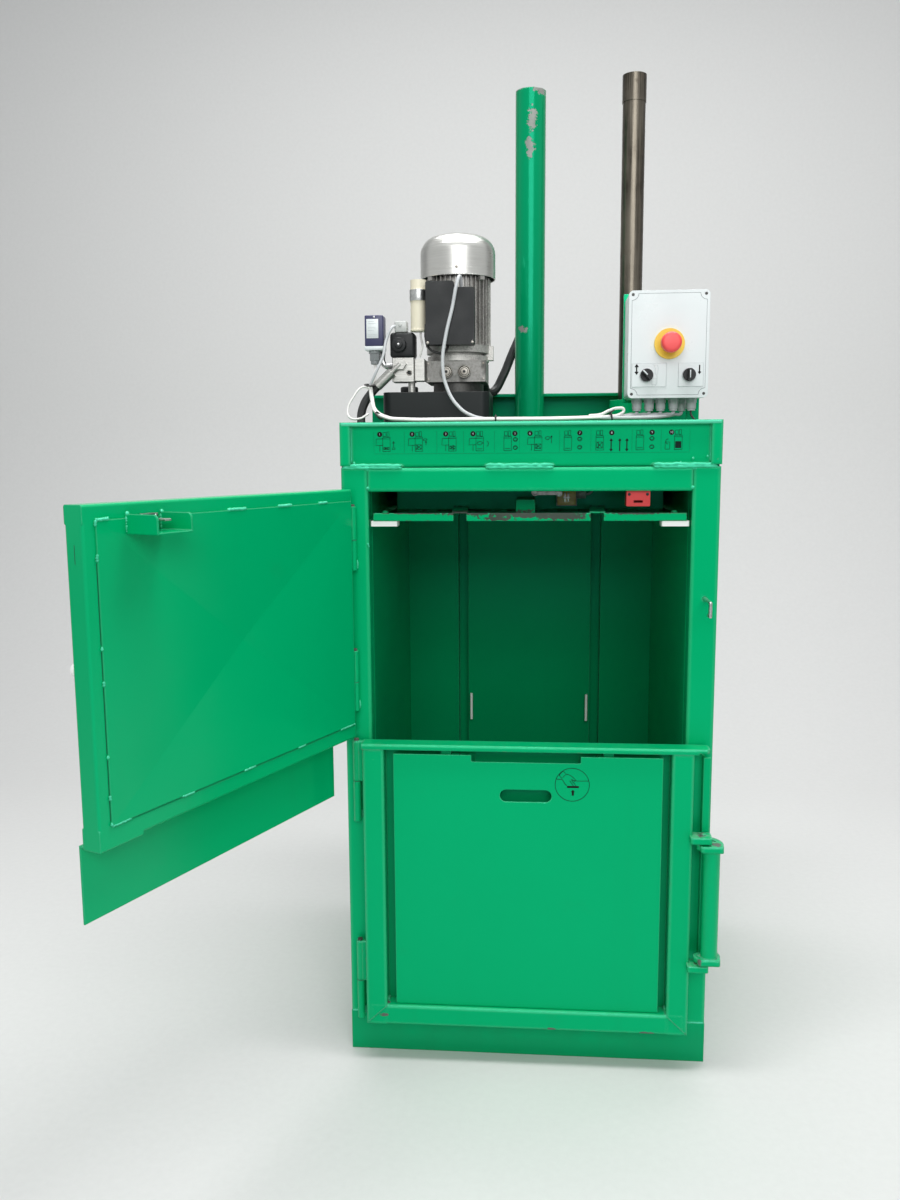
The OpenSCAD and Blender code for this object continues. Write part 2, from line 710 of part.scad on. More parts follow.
// Motor shaft with rotor and cooling fan, which turn inside the case and the cover
module motor_rotor() color(steel) at_front() translate([motor_x, motor_y, 0]) {
    rod([0, 0, 1415], "z", 275, shaft_r);
    rod([0, 0, motor_low + 25], "z", 100, 46);
    rod([0, 0, motor_top + 12], "z", 4, 60);
    for (a = [0 : 45 : 315]) rotate([0, 0, a]) block([12, -1, motor_top + 15], [60, 1, motor_top + 34]);
}

// Platen

// Strap channel of the platen in plan, splayed to meet the channels of the back wall
module strap_plan(grow) {
    w = strap_w / 2 + grow;
    polygon([[strap_front - w, 0], [strap_front + w, 0], [strap_back + w, platen_back + 10],
        [strap_back - w, platen_back + 10]]);
}

// Platen plate with front lip, two strap channels, cross beams, spine and pad bolts
lip_h = 16;
cover_h = 10;
beam_rows = [258, 376];
module platen_plate() color(green) at_front() {
    difference() {
        union() {
            block([-platen_w, 8, platen_low], [platen_w, platen_back, platen_top]);
            block([-platen_w, 8, platen_low], [platen_w, 18, platen_low + lip_h]);
            block([-platen_w, platen_back - 8, platen_low], [platen_w, platen_back, platen_low + 36]);
            intersection() {
                block([-platen_w, 18, platen_low], [platen_w, platen_back, platen_top + cover_h]);
                for (side = [0, 1]) mirror([side, 0, 0])
                    translate([0, 0, platen_low]) linear_extrude(60) strap_plan(sheet);
            }
            for (y = beam_rows) tube([-300, y, platen_top], [300, y + 40, platen_top + 60], "x", 4, sheet);
            block([-26, 100, platen_top], [14, beam_rows[0], 1197]);
            block([-12, beam_rows[1] + 40, platen_top], [12, platen_back - 8, 1192]);
            for (x = [-294, 294], y = [32, platen_back - 32]) {
                rod([x, y, platen_top], "z", 8, 7);
                translate([x, y, platen_top + 8]) cylinder(r1 = 7, r2 = 4, h = 4);
            }
        }
        for (side = [0, 1]) mirror([side, 0, 0])
            translate([0, 0, platen_low - 1]) linear_extrude(platen_t + cover_h - sheet + 1) strap_plan(0);
        for (x = [-strap_front, strap_front])
            block([x - strap_w / 2 + 1, 7, platen_low - 1], [x + strap_w / 2 + 1, 18, platen_low + lip_h + 1]);
    }
}

// Four nylon pads that keep the platen off the chamber walls
module nylon_pads() color(white) at_front() for (x = [-1, 1], y = [10, platen_back - 46])
    bar([x > 0 ? 267 : -322, y, platen_low - 11], [x > 0 ? 322 : -267, y + 36, platen_low], "z", 3);

// Piston rod with its foot on the platen and the piston in the barrel
piston_z = 2012;
module piston_rod() color(zinc) at_front() translate([0, ram_y, 0]) {
    rod([0, 0, platen_top], "z", 22, 30);
    rod([0, 0, platen_top], "z", piston_z - platen_top, rod_r);
    rod([0, 0, piston_z], "z", 40, bore_r - run);
}

// Guide tube with its foot, its stop band and its closed top
module guide_rod() color(steel) at_front() translate([guide_x, guide_y, 0]) difference() {
    union() {
        rod([0, 0, platen_top], "z", 12, 30);
        rod([0, 0, platen_top], "z", guide_top - platen_top, guide_r);
        rod([0, 0, guide_top - 57], "z", 57, guide_r + 1.3);
    }
    rod([0, 0, platen_top + 14], "z", guide_top - platen_top - 22, guide_r - 5);
}

// Loading door

// Pan of folded rails round an outer skin, with the moving hinge knuckles
module door_pan() color(green) at_door(door_open) {
    u0 = door_near;
    u1 = door_len;
    tube([u0, door_out, door_top - door_rail], [u1, door_in, door_top], "x", 4, sheet);
    tube([u0, door_out, door_low], [u1, door_in, door_low + door_rail], "x", 4, sheet);
    for (u = [u0, u1 - door_rail])
        tube([u, door_out, door_low + door_rail - 5], [u + door_rail, door_in, door_top - door_rail + 5], "z", 4, sheet);
    tube([u1 - 88, door_out, free_low], [u1, door_in, door_low + 8], "x", 2, 2);
    block([u0 + 20, door_out, door_low + 20], [u1 - 20, door_out + sheet, door_top - 20]);
    for (h = door_hinges) knuckle(h[1], h[2], pin_r + run)
        block([0, -5, h[1]], [u0 + 3, 5, h[2]]);
    rod([u1 - 14, door_out - 6, 980], "y", 6, 9);
}

// Inner plate welded over the rails
module door_plate() color(green) at_door(door_open)
    block([17, door_in, door_low + 31], [680, door_in + 2.5, door_top - 23]);

// Folded skirt that hangs before the top of the gate
module door_skirt() color(green) at_door(door_open) {
    block([35, skirt_out, door_low - skirt_drop], [door_len, skirt_out + sheet, door_low]);
    block([35, skirt_out, door_low - sheet], [door_len - 90, -8, door_low]);
    block([door_len - 90, skirt_out, door_low - sheet], [door_len, door_out, door_low]);
}

// Guard folded as a trough round the key of the safety switch
guard_u = [547, 622];
module lock_guard() color(green) at_door(door_open) {
    v0 = door_in + 2.5;
    v1 = 72;
    for (u = [guard_u[0], guard_u[1] - sheet])
        translate([u, 0, 0]) rotate([90, 0, 90]) linear_extrude(sheet) union() {
            translate([v0, 1177]) square([v1 - v0 - 8, 30]);
            translate([v0, 1177]) square([v1 - v0, 22]);
            translate([v1 - 8, 1199]) circle(8);
        }
    block([guard_u[0], v0, 1177], [guard_u[1], v1, 1177 + sheet]);
}

// Key of the safety switch: a flat tongue on a riveted foot
key_u = switch_x - hinge_x;
module lock_key() color(zinc) at_door(door_open) {
    v0 = door_in + 2.5;
    block([key_u - 18, v0, 1186], [key_u + 18, v0 + 3, 1206]);
    block([key_u - 7, v0 + 3, key_z - 1.2], [key_u + 7, 50, key_z + 1.2]);
}

// Bale gate

// Tube frame with a flat top bar that runs on over the latch side, and its knuckles
module gate_frame() color(green) at_front() {
    for (x = [gate_left, gate_right - stile_w])
        tube([x, gate_front, gate_low], [x + stile_w, gate_rear, stile_top], "z", 4, sheet);
    tube([gate_left + 10, gate_front, gate_low], [gate_right - 10, gate_rear, rail_top], "x", 4, sheet);
    bar([gate_left - 2, gate_front - 1, stile_top], [346, gate_rear, gate_top], "x", 3);
    translate([0, 0, gate_top - 8]) linear_extrude(8)
        polygon([[340, gate_front - 1], [362, gate_front - 1], [368, -38], [368, -14], [362, -8], [340, -8]]);
    for (h = gate_hinges) translate([hinge_x, hinge_y, 0]) knuckle(h[1], h[2], pin_r + run)
        block([0, -6, h[1]], [17.5, 2, h[2]]);
}

// Back sheet of the gate with two strap slots, its ribs and the bars that hold the lift panel
hook_bars = [560, 200];
module hook_bar(z) {
    block([177, -22, z], [268, -16, z + 12]);
    block([252, -16, z], [268, -8, z + 12]);
}
module gate_back() color(dark_green) at_front() {
    difference() {
        block([gate_left + stile_w, -8, rail_top], [gate_right - stile_w, gate_rear, stile_top]);
        for (x = [-slot_x, slot_x]) block([x - slot_w / 2, -9, 150], [x + slot_w / 2, -3, stile_top - 14]);
    }
    for (side = [0, 1]) mirror([side, 0, 0]) {
        block([slot_x - slot_w / 2 - 14, -30, rail_top], [slot_x - slot_w / 2, -8, 655]);
        block([slot_x + slot_w / 2, -30, rail_top], [slot_x + slot_w / 2 + 21, -8, stile_top]);
    }
    for (z = hook_bars) {
        mirror([1, 0, 0]) hook_bar(z);
        hook_bar(z);
    }
}

// Latch tabs round the corner of the right stile, with the pivot pins
module tab() {
    difference() {
        bar([331, -64, 0], [374, -28, 13], "z", 5);
        block([330, gate_front, -1], [gate_right, -20, 14]);
    }
}
module gate_tabs() color(green) at_front() {
    translate([0, 0, arm_high + arm_t + tab_gap]) tab();
    translate([0, 0, arm_low - tab_gap - 13]) tab();
    rod([latch_x, latch_y, arm_high], "z", arm_t + tab_gap + 13 + 3, latch_pin_r);
    rod([latch_x, latch_y, arm_low - tab_gap - 16], "z", arm_t + tab_gap + 16, latch_pin_r);
}

// Front panel that lifts off the gate: hand slot, notched top edge, side flanges and four hooks
panel_x = 276;
panel_low = rail_top + 1;
panel_top = 680;
slot_z = 595;
module panel_outline() difference() {
    translate([-panel_x, panel_low]) square([2 * panel_x, panel_top - panel_low]);
    translate([-114, panel_top - 14]) round_rect(224, 30, 3);
    translate([-42, slot_z]) circle(13);
    translate([38, slot_z]) circle(13);
    translate([-42, slot_z - 13]) square([80, 26]);
}
module lift_panel() color(green) at_front() {
    translate([0, panel_y + sheet, 0]) rotate([90, 0, 0]) linear_extrude(sheet) panel_outline();
    for (x = [-panel_x, panel_x - sheet])
        block([x, panel_y, panel_low], [x + sheet, -24, panel_top]);
    for (x = [-230, 226], z = hook_bars) {
        block([x, panel_y + sheet, z + 13], [x + 4, -10, z + 26]);
        block([x, -13, z + 6], [x + 4, -10, z + 26]);
    }
}

// Latch lever: two arms with claws round the pivot, joined by the grip tube
module arm_plan() difference() {
    union() {
        translate([-7, -24]) round_rect(46, 33, 6);
        circle(13);
        difference() {
            circle(claw_out);
            circle(claw_in);
            polygon([[0, 0], [80 * cos(claw_tip), 80 * sin(claw_tip)], [-90, 90], [-90, -90], [50, -90], [50, -20]]);
        }
    }
    circle(latch_pin_r + run);
}
module latch_handle() color(green) at_front() {
    for (z = [arm_low, arm_high]) translate([latch_x, latch_y, z]) linear_extrude(arm_t) arm_plan();
    difference() {
        rod([latch_x + 17.5, latch_y - 5, arm_low + arm_t], "z", arm_high - arm_low - arm_t, 17);
        rod([latch_x + 17.5, latch_y - 5, arm_low + arm_t - 1], "z", arm_high - arm_low - arm_t + 2, 14);
    }
}

// Turn catch in the right post: its leg swings from hanging to lying over the closed door
module door_catch() color(zinc) at_front() {
    rod([catch_x, -72, catch_z], "y", 86, catch_r);
    rod([catch_x, -72, catch_z - 26], "z", 26, catch_r);
    rod([catch_x, -72, catch_z - 26], "y", 18, catch_r);
    for (z = [catch_z - 26, catch_z]) translate([catch_x, -72, z]) sphere(r = catch_r);
    rod([catch_x, plate, catch_z], "y", 3, 6);
}

// Controls

module estop_button() color("red") at_front() translate([estop_x, lid_y, estop_z]) {
    rod([0, -30, 0], "y", 44, 11);
    rod([0, -36, 0], "y", 14, 20);
    translate([0, -36, 0]) rotate([90, 0, 0]) cylinder(r1 = 20, r2 = 13, h = 5);
}

// Rotary knob with a raised grip, on its shaft through the lid
module selector(x, turn) color(black) at_front() translate([x, lid_y - 1, knob_z]) {
    rod([0, 0, 0], "y", 14, 5);
    rod([0, -8, 0], "y", 8, 12.5);
    rotate([0, turn, 0]) block([-3.5, -20, -11.5], [3.5, -7, 11.5]);
}
module selector_left() selector(knob_left, -45);
module selector_right() selector(knob_right, 0);

plinth();
left_post();
right_post();
top_tube();
left_wall();
right_wall();
rear_posts();
back_wall();
strap_hooks();
header();
press_head();
top_deck();
hinge_knuckles();
hinge_pins();
latch_keeper();
frame_bolts();
guide_collar();
cylinder_barrel();
cylinder_gland();
hydraulic_hoses();
hard_line();
oil_tank();
pump_unit();
pump_block();
motor_body();
fan_cover();
terminal_box();
capacitor();
valve_block();
solenoid_coil();
pressure_switch();
box_base();
box_lid();
control_gear();
box_bracket();
estop_disc();
cable_glands();
cable_loom();
safety_switch();
limit_switch();
motor_rotor();
platen_plate();
nylon_pads();
piston_rod();
guide_rod();
door_pan();
door_plate();
door_skirt();
lock_guard();
lock_key();
gate_frame();
gate_back();
gate_tabs();
lift_panel();
latch_handle();
estop_button();
selector_left();
selector_right();
limit_lever();
door_catch();
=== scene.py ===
# %% [markdown]
# # A small recycling baler
# The real object is a welded steel chamber, painted green, with a loading door over a low bale gate.
# A hydraulic cylinder above the chamber drives a platen down onto the waste.
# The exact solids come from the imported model, so this lesson starts by loading them. After that each
# cell adds a finish, or a piece that a plain solid can't show, such as a weld, a cable or a bent sheet.

# %% Load the frame and keep its size
import math
import random

import bpy
from mathutils import Matrix, Vector


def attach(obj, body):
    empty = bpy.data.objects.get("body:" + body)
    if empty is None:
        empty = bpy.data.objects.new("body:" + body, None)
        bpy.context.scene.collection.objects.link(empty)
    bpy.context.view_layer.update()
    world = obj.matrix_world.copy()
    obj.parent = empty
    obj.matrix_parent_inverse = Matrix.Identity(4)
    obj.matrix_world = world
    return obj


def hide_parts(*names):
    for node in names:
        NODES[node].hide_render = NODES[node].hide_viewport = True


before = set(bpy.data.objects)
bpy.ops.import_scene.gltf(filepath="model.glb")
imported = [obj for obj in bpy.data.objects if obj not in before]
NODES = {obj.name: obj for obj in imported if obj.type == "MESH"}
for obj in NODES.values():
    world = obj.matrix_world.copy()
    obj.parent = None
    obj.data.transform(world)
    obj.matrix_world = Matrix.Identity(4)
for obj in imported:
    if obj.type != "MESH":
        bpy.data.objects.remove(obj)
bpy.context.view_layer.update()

# %% [markdown]
# ## Measures
# The drawing gives millimetres, counted from the front face of the posts. Blender works in metres
# with its origin in the middle of the footprint, so one small function turns one into the other.

# %% Millimetres from the front of the posts
MM = 0.001
TINY = 1e-6
FRONT = -360.0


def at(x, y, z):
    """A point of the drawing, in millimetres, as a Blender point in metres."""
    return Vector((x, y + FRONT, z)) * MM


print("front left foot of the machine:", at(-380, 0, 0))

# %% [markdown]
# ## Camera
# The camera is set by where it stands, how far it turns and how wide it sees. A turn about the
# upright axis, a dip and a slight roll give its three directions, and these fill its matrix.

# %% Camera
EYE = Vector((0.0116, -2.418, 1.290))
YAW, DIP, ROLL = math.radians(4.73), math.radians(-8.08), math.radians(-0.35)
FOCAL_PIXELS, LONG_SIDE_PIXELS, SENSOR = 1017.5, 1200, 36

ahead = Vector((-math.sin(YAW) * math.cos(DIP), math.cos(YAW) * math.cos(DIP), math.sin(DIP)))
level = Vector((math.cos(YAW), math.sin(YAW), 0))
over = level.cross(ahead)
right = level * math.cos(ROLL) + over * math.sin(ROLL)
up = over * math.cos(ROLL) - level * math.sin(ROLL)

bpy.ops.object.camera_add()
camera = bpy.context.object
camera.name = "camera"
camera.data.sensor_width = SENSOR
camera.data.lens = FOCAL_PIXELS * SENSOR / LONG_SIDE_PIXELS
camera.data.clip_end = 60
camera.matrix_world = Matrix((
    (right.x, up.x, -ahead.x, EYE.x),
    (right.y, up.y, -ahead.y, EYE.y),
    (right.z, up.z, -ahead.z, EYE.z),
    (0, 0, 0, 1),
))
bpy.context.scene.camera = camera
print("lens", round(camera.data.lens, 2), "mm")

# %% [markdown]
# ## Small tools
# All shapes below start from a primitive at its size and place. An operator works on whatever is
# selected, so each tool first clears the selection. Edges and faces are chosen in code, by position.

# %% Selecting and editing
def clear():
    """Nothing selected, and object mode."""
    if bpy.context.object and bpy.context.object.mode != "OBJECT":
        bpy.ops.object.mode_set(mode="OBJECT")
    bpy.ops.object.select_all(action="DESELECT")


def only(piece):
    """Makes one piece the selected and active one."""
    clear()
    piece.select_set(True)
    bpy.context.view_layer.objects.active = piece
    return piece


def settle(piece):
    """Puts the place, turn and size of a piece into its mesh."""
    only(piece)
    bpy.ops.object.transform_apply(location=True, rotation=True, scale=True)
    return piece


def edit(piece, faces=None, edges=None):
    """Opens a piece in edit mode with the wanted faces or edges selected."""
    only(piece)
    mesh = piece.data
    bpy.ops.object.mode_set(mode="EDIT")
    bpy.ops.mesh.select_mode(type="EDGE" if edges else "FACE")
    bpy.ops.mesh.select_all(action="SELECT" if not (faces or edges) else "DESELECT")
    bpy.ops.object.mode_set(mode="OBJECT")
    if faces:
        for face in mesh.polygons:
            face.select = faces(face)
    if edges:
        for edge in mesh.edges:
            a, b = (mesh.vertices[i].co for i in edge.vertices)
            edge.select = edges(a, b)
    bpy.ops.object.mode_set(mode="EDIT")


def leave():
    """Back to object mode. Gives the edited piece."""
    bpy.ops.object.mode_set(mode="OBJECT")
    return bpy.context.object


def soften(piece, round_off, steps, edges=None):
    """Bevels the wanted edges of a piece, or all of them."""
    if round_off:
        edit(piece, edges=edges)
        bpy.ops.mesh.bevel(offset=round_off * MM, segments=steps, affect="EDGES")
        leave()
    return piece


# %% Boxes and round bars
def block(low, high, round_off=0.0, steps=2):
    """A box between two corners in millimetres, with its edges rounded."""
    clear()
    a, b = at(*low), at(*high)
    bpy.ops.mesh.primitive_cube_add(size=1, location=(a + b) / 2, scale=b - a)
    return soften(settle(bpy.context.object), round_off, steps)


TURN = {"x": (0, math.pi / 2, 0), "y": (-math.pi / 2, 0, 0), "z": (0, 0, 0)}
ALONG = {"x": Vector((1, 0, 0)), "y": Vector((0, 1, 0)), "z": Vector((0, 0, 1))}


def drum(start, axis, length, radius, round_off=0.0, sides=40):
    """A round bar from a point along an axis, with its rims rounded."""
    clear()
    middle = at(*start) + ALONG[axis] * length * MM / 2
    bpy.ops.mesh.primitive_cone_add(vertices=sides, radius1=radius * MM, radius2=radius * MM,
                                    depth=length * MM, location=middle, rotation=TURN[axis])
    n = "xyz".index(axis)
    return soften(settle(bpy.context.object), round_off, 3, lambda a, b: abs(a[n] - b[n]) < TINY)


# %% Joining and naming
def join(pieces):
    """Several meshes as one piece."""
    clear()
    for piece in pieces:
        piece.select_set(True)
    bpy.context.view_layer.objects.active = pieces[0]
    if len(pieces) > 1:
        bpy.ops.object.join()
    return bpy.context.object


def finish(pieces, name, surface, body="machine", smooth=35):
    """Joins pieces under one name, gives them a material and hangs them on the body they move with."""
    piece = only(join(pieces) if isinstance(pieces, list) else pieces)
    piece.name = piece.data.name = name
    piece.data.materials.clear()
    piece.data.materials.append(surface)
    bpy.ops.object.shade_smooth_by_angle(angle=math.radians(smooth))
    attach(piece, body)
    print(name, len(piece.data.polygons), "faces on", body)
    return piece


# %% [markdown]
# ## Node tools
# A material is a small tree of nodes. These helpers add a node to the tree that was opened last,
# join its inputs and hand back its output, so the trees further down read like sentences.

# %% Tools for making materials
def feed(node, inputs):
    """Joins each input to another node's output, or sets it to a value."""
    for key, value in inputs.items():
        if isinstance(value, bpy.types.NodeSocket):
            node.id_data.links.new(value, node.inputs[key])
        else:
            node.inputs[key].default_value = value
    return node


def add(kind, inputs=None, **settings):
    """Adds a node to the open tree, with its settings and inputs."""
    made = tree.nodes.new("ShaderNode" + kind)
    for key, value in settings.items():
        setattr(made, key, value)
    return feed(made, inputs or {})


def object_place():
    """Where a point lies in the object, in metres."""
    return add("TexCoord").outputs["Object"]


def calc(operation, a, b=0.0, clamp=False):
    """One step of arithmetic."""
    return add("Math", {0: a, 1: b}, operation=operation, use_clamp=clamp).outputs[0]


def times(a, b, clamp=False):
    return calc("MULTIPLY", a, b, clamp)


def plus(a, b, clamp=False):
    return calc("ADD", a, b, clamp)


def minus(a, b):
    return calc("SUBTRACT", a, b)


def larger(a, b):
    return calc("MAXIMUM", a, b)


def spread(value, low, high, to_low=0.0, to_high=1.0):
    """Maps low..high softly to a new range, and holds the ends."""
    return add("MapRange", {0: value, 1: low, 2: high, 3: to_low, 4: to_high},
               interpolation_type="SMOOTHSTEP").outputs[0]


def mix(factor, a, b):
    """From colour a to colour b by a factor."""
    return add("Mix", {0: factor, 6: a, 7: b}, data_type="RGBA").outputs[2]


def noise(vector, scale, detail=4.0, rough=0.55):
    """Cloudy values round a half."""
    return add("TexNoise",
               {"Vector": vector, "Scale": scale, "Detail": detail, "Roughness": rough}).outputs[0]


def new_mask(name, **inputs):
    """Opens a group that gives a mask. Gives back its inputs, which have these usual values."""
    global tree
    tree = bpy.data.node_groups.new(name, "ShaderNodeTree")
    for label, value in inputs.items():
        made = tree.interface.new_socket(label, in_out="INPUT", socket_type="NodeSocketFloat")
        made.default_value = value
    tree.interface.new_socket("Mask", in_out="OUTPUT", socket_type="NodeSocketFloat")
    return tree.nodes.new("NodeGroupInput").outputs


def give(mask):
    """Sends the mask out of its group."""
    feed(tree.nodes.new("NodeGroupOutput"), {"Mask": mask})


def use(name, **values):
    """Places a group in a tree and sets its values by name."""
    return add("Group", values, node_tree=bpy.data.node_groups[name]).outputs[0]


def rgb(r, g, b):
    return (r, g, b, 1.0)


# %% [markdown]
# ## Shared effects
# Several finishes need the same marks: paint that is knocked off at the edges, soft blotches, thin
# scratches, runs of dirt down a wall, and dust that lies on what faces up. Each mark is a node group
# that gives a mask, so it is built once and every material sets its own amount. One more group gives
# a painted highlight on rounded edges that face up.

# %% Worn edges
def bend(reach):
    """The normal rounded within a reach, and by how much it leaves the true one."""
    rounded = add("Bevel", {"Radius": reach}, samples=4).outputs[0]
    true_normal = add("NewGeometry").outputs["True Normal"]
    along = add("VectorMath", {0: rounded, 1: true_normal}, operation="DOT_PRODUCT")
    return rounded, minus(1.0, along.outputs["Value"])


i = new_mask("worn edge", Reach=0.002, Share=0.5, Grain=60.0)
place = object_place()
edge = times(bend(i["Reach"])[1], 9.0, clamp=True)
fine = noise(place, i["Grain"], 5.0, 0.6)
patch = noise(place, 7.0, 3.0, 0.5)
ragged = plus(times(fine, 0.62), times(patch, 0.38))
limit = minus(0.78, times(i["Share"], 0.36))
chip = spread(minus(ragged, limit), 0.0, 0.018)
give(times(chip, edge))

# %% Painted highlight on rounded edges, strongest where they face up
i = new_mask("thin edge", Reach=0.003, Amount=0.5)
rounded, turn = bend(i["Reach"])
edge = times(turn, 10.0, clamp=True)
upward = add("SeparateXYZ", {0: rounded}).outputs["Z"]
lift = spread(upward, -0.42, 0.45)
give(times(times(edge, lift), i["Amount"]))

# %% Blotches, scratches, runs and dust
i = new_mask("blotch", Scale=6.0, Low=0.45, High=0.7)
place = object_place()
give(spread(noise(place, i["Scale"], 6.0, 0.6), i["Low"], i["High"]))

i = new_mask("scratch", Scale=18.0, Share=0.3)
place = object_place()
tilted = add("Mapping", {"Vector": place, "Rotation": (0.5, 0.35, 0.2), "Scale": (1, 1, 14)})
lines = noise(tilted.outputs[0], i["Scale"], 2.0, 0.5)
limit = minus(0.84, times(i["Share"], 0.14))
where = spread(noise(place, 4.0, 2.0), 0.54, 0.62)
thin = spread(minus(lines, limit), 0.0, 0.02)
give(times(thin, where))

i = new_mask("run", Scale=22.0, Low=0.5, High=0.75)
place = object_place()
tall = add("Mapping", {"Vector": place, "Scale": (1, 1, 0.06)}).outputs[0]
give(spread(noise(tall, i["Scale"], 4.0), i["Low"], i["High"]))

i = new_mask("dust", Amount=0.5)
place = object_place()
facing = add("SeparateXYZ", {0: add("NewGeometry").outputs["Normal"]}).outputs["Z"]
flat = spread(facing, 0.55, 0.98)
speck = spread(noise(place, 45.0, 6.0, 0.65), 0.35, 0.72)
give(times(times(flat, speck), i["Amount"]))

i = new_mask("near floor", Height=0.25)
place = object_place()
high = add("SeparateXYZ", {0: place}).outputs["Z"]
cloud = times(minus(noise(place, 14.0, 5.0), 0.5), 0.35)
give(spread(plus(high, cloud), 0.0, i["Height"], 1.0, 0.0))

# %% A mark at one place
i = new_mask("spot", X=0.0, Y=0.0, Z=0.0, Wide=0.01, Tall=0.01, Ragged=0.5)
place = object_place()
axes = add("SeparateXYZ", {0: place}).outputs
parts = []
for axis, size in (("X", "Wide"), ("Y", "Wide"), ("Z", "Tall")):
    away = calc("DIVIDE", minus(axes[axis], i[axis]), i[size])
    parts.append(times(away, away))
reach = calc("SQRT", plus(plus(parts[0], parts[1]), parts[2]))
torn = times(minus(noise(place, 105.0, 6.0, 0.7), 0.5), 5.0)
torn = times(torn, i["Ragged"])
give(spread(plus(reach, torn), 0.95, 1.05, 1.0, 0.0))
print("effects:", [g.name for g in bpy.data.node_groups])

# %% [markdown]
# ## Paint
# The machine is sprayed with a glossy green enamel. Close up it has a faint orange peel, it is
# chipped to grey steel along edges that get knocked, and its lowest parts are mixed darker towards
# the floor. The Bevel node also rounds the look of every sharp edge of the solids, as the folded
# sheet really is.

# %% A new material and its relief
def surface(name):
    """A new material with its tree open, its shader and the place in the object."""
    global tree
    made = bpy.data.materials.new(name)
    made.use_nodes = True
    tree = made.node_tree
    return made, tree.nodes["Principled BSDF"], object_place()


def relief(shader, height, depth, rounding=0.0012):
    """A bump on top of softly rounded edges."""
    soft = add("Bevel", {"Radius": rounding}, samples=4).outputs[0]
    made = add("Bump", {"Height": height, "Strength": 1.0, "Distance": depth, "Normal": soft})
    feed(shader, {"Normal": made.outputs[0]})


# %% Painted steel
GREEN_SHINE, DARK_PAINT_HIGHLIGHT = rgb(0.08, 1.0, 0.68), rgb(0.04, 0.04, 0.04)


def painted(name, colour, wear=0.25, grime=0.06, reach=0.0016, gloss=0.15, dust=0.01, near_floor_darkening=0.0,
            marks=(), rounding=0.003, thin=0.6, bare=(0.20, 0.195, 0.175)):
    """Enamel on steel. marks lists worn places: x, y, z, half width, half height in millimetres."""
    made, shader, place = surface(name)
    r, g, b = colour
    tone = noise(place, 3.2, 3.0)
    base = mix(tone, rgb(r, g * 0.96, b * 0.95), rgb(r, g * 1.03, b * 1.04))
    runs = times(use("run", Scale=16.0, Low=0.56, High=0.85), grime)
    base = mix(runs, base, rgb(r * 0.5 + 0.01, g * 0.45, b * 0.42))
    grime_and_floor_darkening = times(use("blotch", Scale=9.0, Low=0.6, High=0.8), grime)
    # Towards the floor the paint is mixed darker, by the given amount.
    if near_floor_darkening:
        low = times(use("near floor", Height=0.14), near_floor_darkening)
        grime_and_floor_darkening = larger(grime_and_floor_darkening, low)
    base = mix(grime_and_floor_darkening, base, rgb(0.03, 0.05, 0.03))
    powder = use("dust", Amount=dust)
    base = mix(powder, base, rgb(0.30, 0.42, 0.34))
    green = g > 0.1
    # Rounded edges that face up are mixed towards a paler colour: a painted highlight, as strong as
    # thin says.
    pale = rgb(0.5 * r + 0.15, min(1, 1.2 * g + 0.22), 1.2 * b + 0.25) if green else DARK_PAINT_HIGHLIGHT
    base = mix(use("thin edge", Reach=rounding, Amount=thin), base, pale)
    scratch = times(use("scratch", Scale=26.0, Share=wear), 0.3)
    base = mix(scratch, base, rgb(r + 0.1, min(1, g * 1.15 + 0.08), b + 0.12))
    chip = use("worn edge", Reach=reach, Share=wear, Grain=85.0)
    for *spot, wide, tall in marks:
        px, py, pz = at(*spot)
        worn = use("spot", X=px, Y=py, Z=pz, Wide=wide * MM, Tall=tall * MM, Ragged=0.85)
        chip = larger(chip, worn)
    steel = mix(noise(place, 30.0, 4.0), rgb(*bare), rgb(*(c * 0.4 for c in bare)))
    base = mix(chip, base, steel)
    peel = noise(place, 150.0, 2.0)
    dull = spread(noise(place, 8.0, 5.0), 0.3, 0.75, gloss, gloss + 0.08)
    dull = plus(dull, times(larger(grime_and_floor_darkening, powder), 0.4), clamp=True)
    dull = larger(dull, times(chip, 0.55))
    height = minus(times(peel, 0.25), chip)
    relief(shader, height, 0.0003, rounding)
    feed(shader, {"Base Color": base, "Roughness": dull, "Metallic": times(chip, 0.3),
                  "Specular IOR Level": 0.5 if green else 0.25})
    if green:
        feed(shader, {"Specular Tint": GREEN_SHINE})
    return made


# %% Paints
GREEN = (0.0, 0.40, 0.142)
green_paint = painted("green_paint", GREEN)
tube_green = painted("tube_green_paint", GREEN, wear=0.3, rounding=0.008, thin=0.75,
                     marks=[(372, 0, 1284, 4, 5)])
worn_green = painted("worn_green_paint", GREEN, wear=0.6, grime=0.1, reach=0.003, dust=0.03,
                     rounding=0.007, thin=0.75,
                     marks=[(-354, -45, 91, 4, 4), (54, -45, 88, 7, 3), (-300, -45, 105, 8, 4),
                            (-296, -30, 128, 5, 5), (250, -45, 87, 16, 3), (384, -52, 507, 10, 4),
                            (352, -66, 260, 5, 6)])
tab_green = painted("tab_green_paint", GREEN, wear=0.6, reach=0.003, dust=0.6, rounding=0.005,
                    thin=0.75, marks=[(354, -43, 524, 9, 3)])
# The plinth gets a darker copy of the green: painted shade of its low place.
low_shaded_green = painted("low_shaded_green_paint", (0.0, 0.34, 0.12), wear=0.5, grime=0.15, reach=0.002, dust=0.1,
                    near_floor_darkening=0.12)
# Welds get a paler copy of the green: a painted highlight of their glossy lumps.
weld_highlight_green = painted("weld_highlight_green_paint", (0.04, 0.52, 0.27), wear=0.0, gloss=0.12)
# The rolled edges get a paler copy of the green: a painted highlight on their round tops.
rolled_highlight_green = painted("rolled_highlight_green_paint", (0.09, 0.56, 0.33), wear=0.5, gloss=0.14)
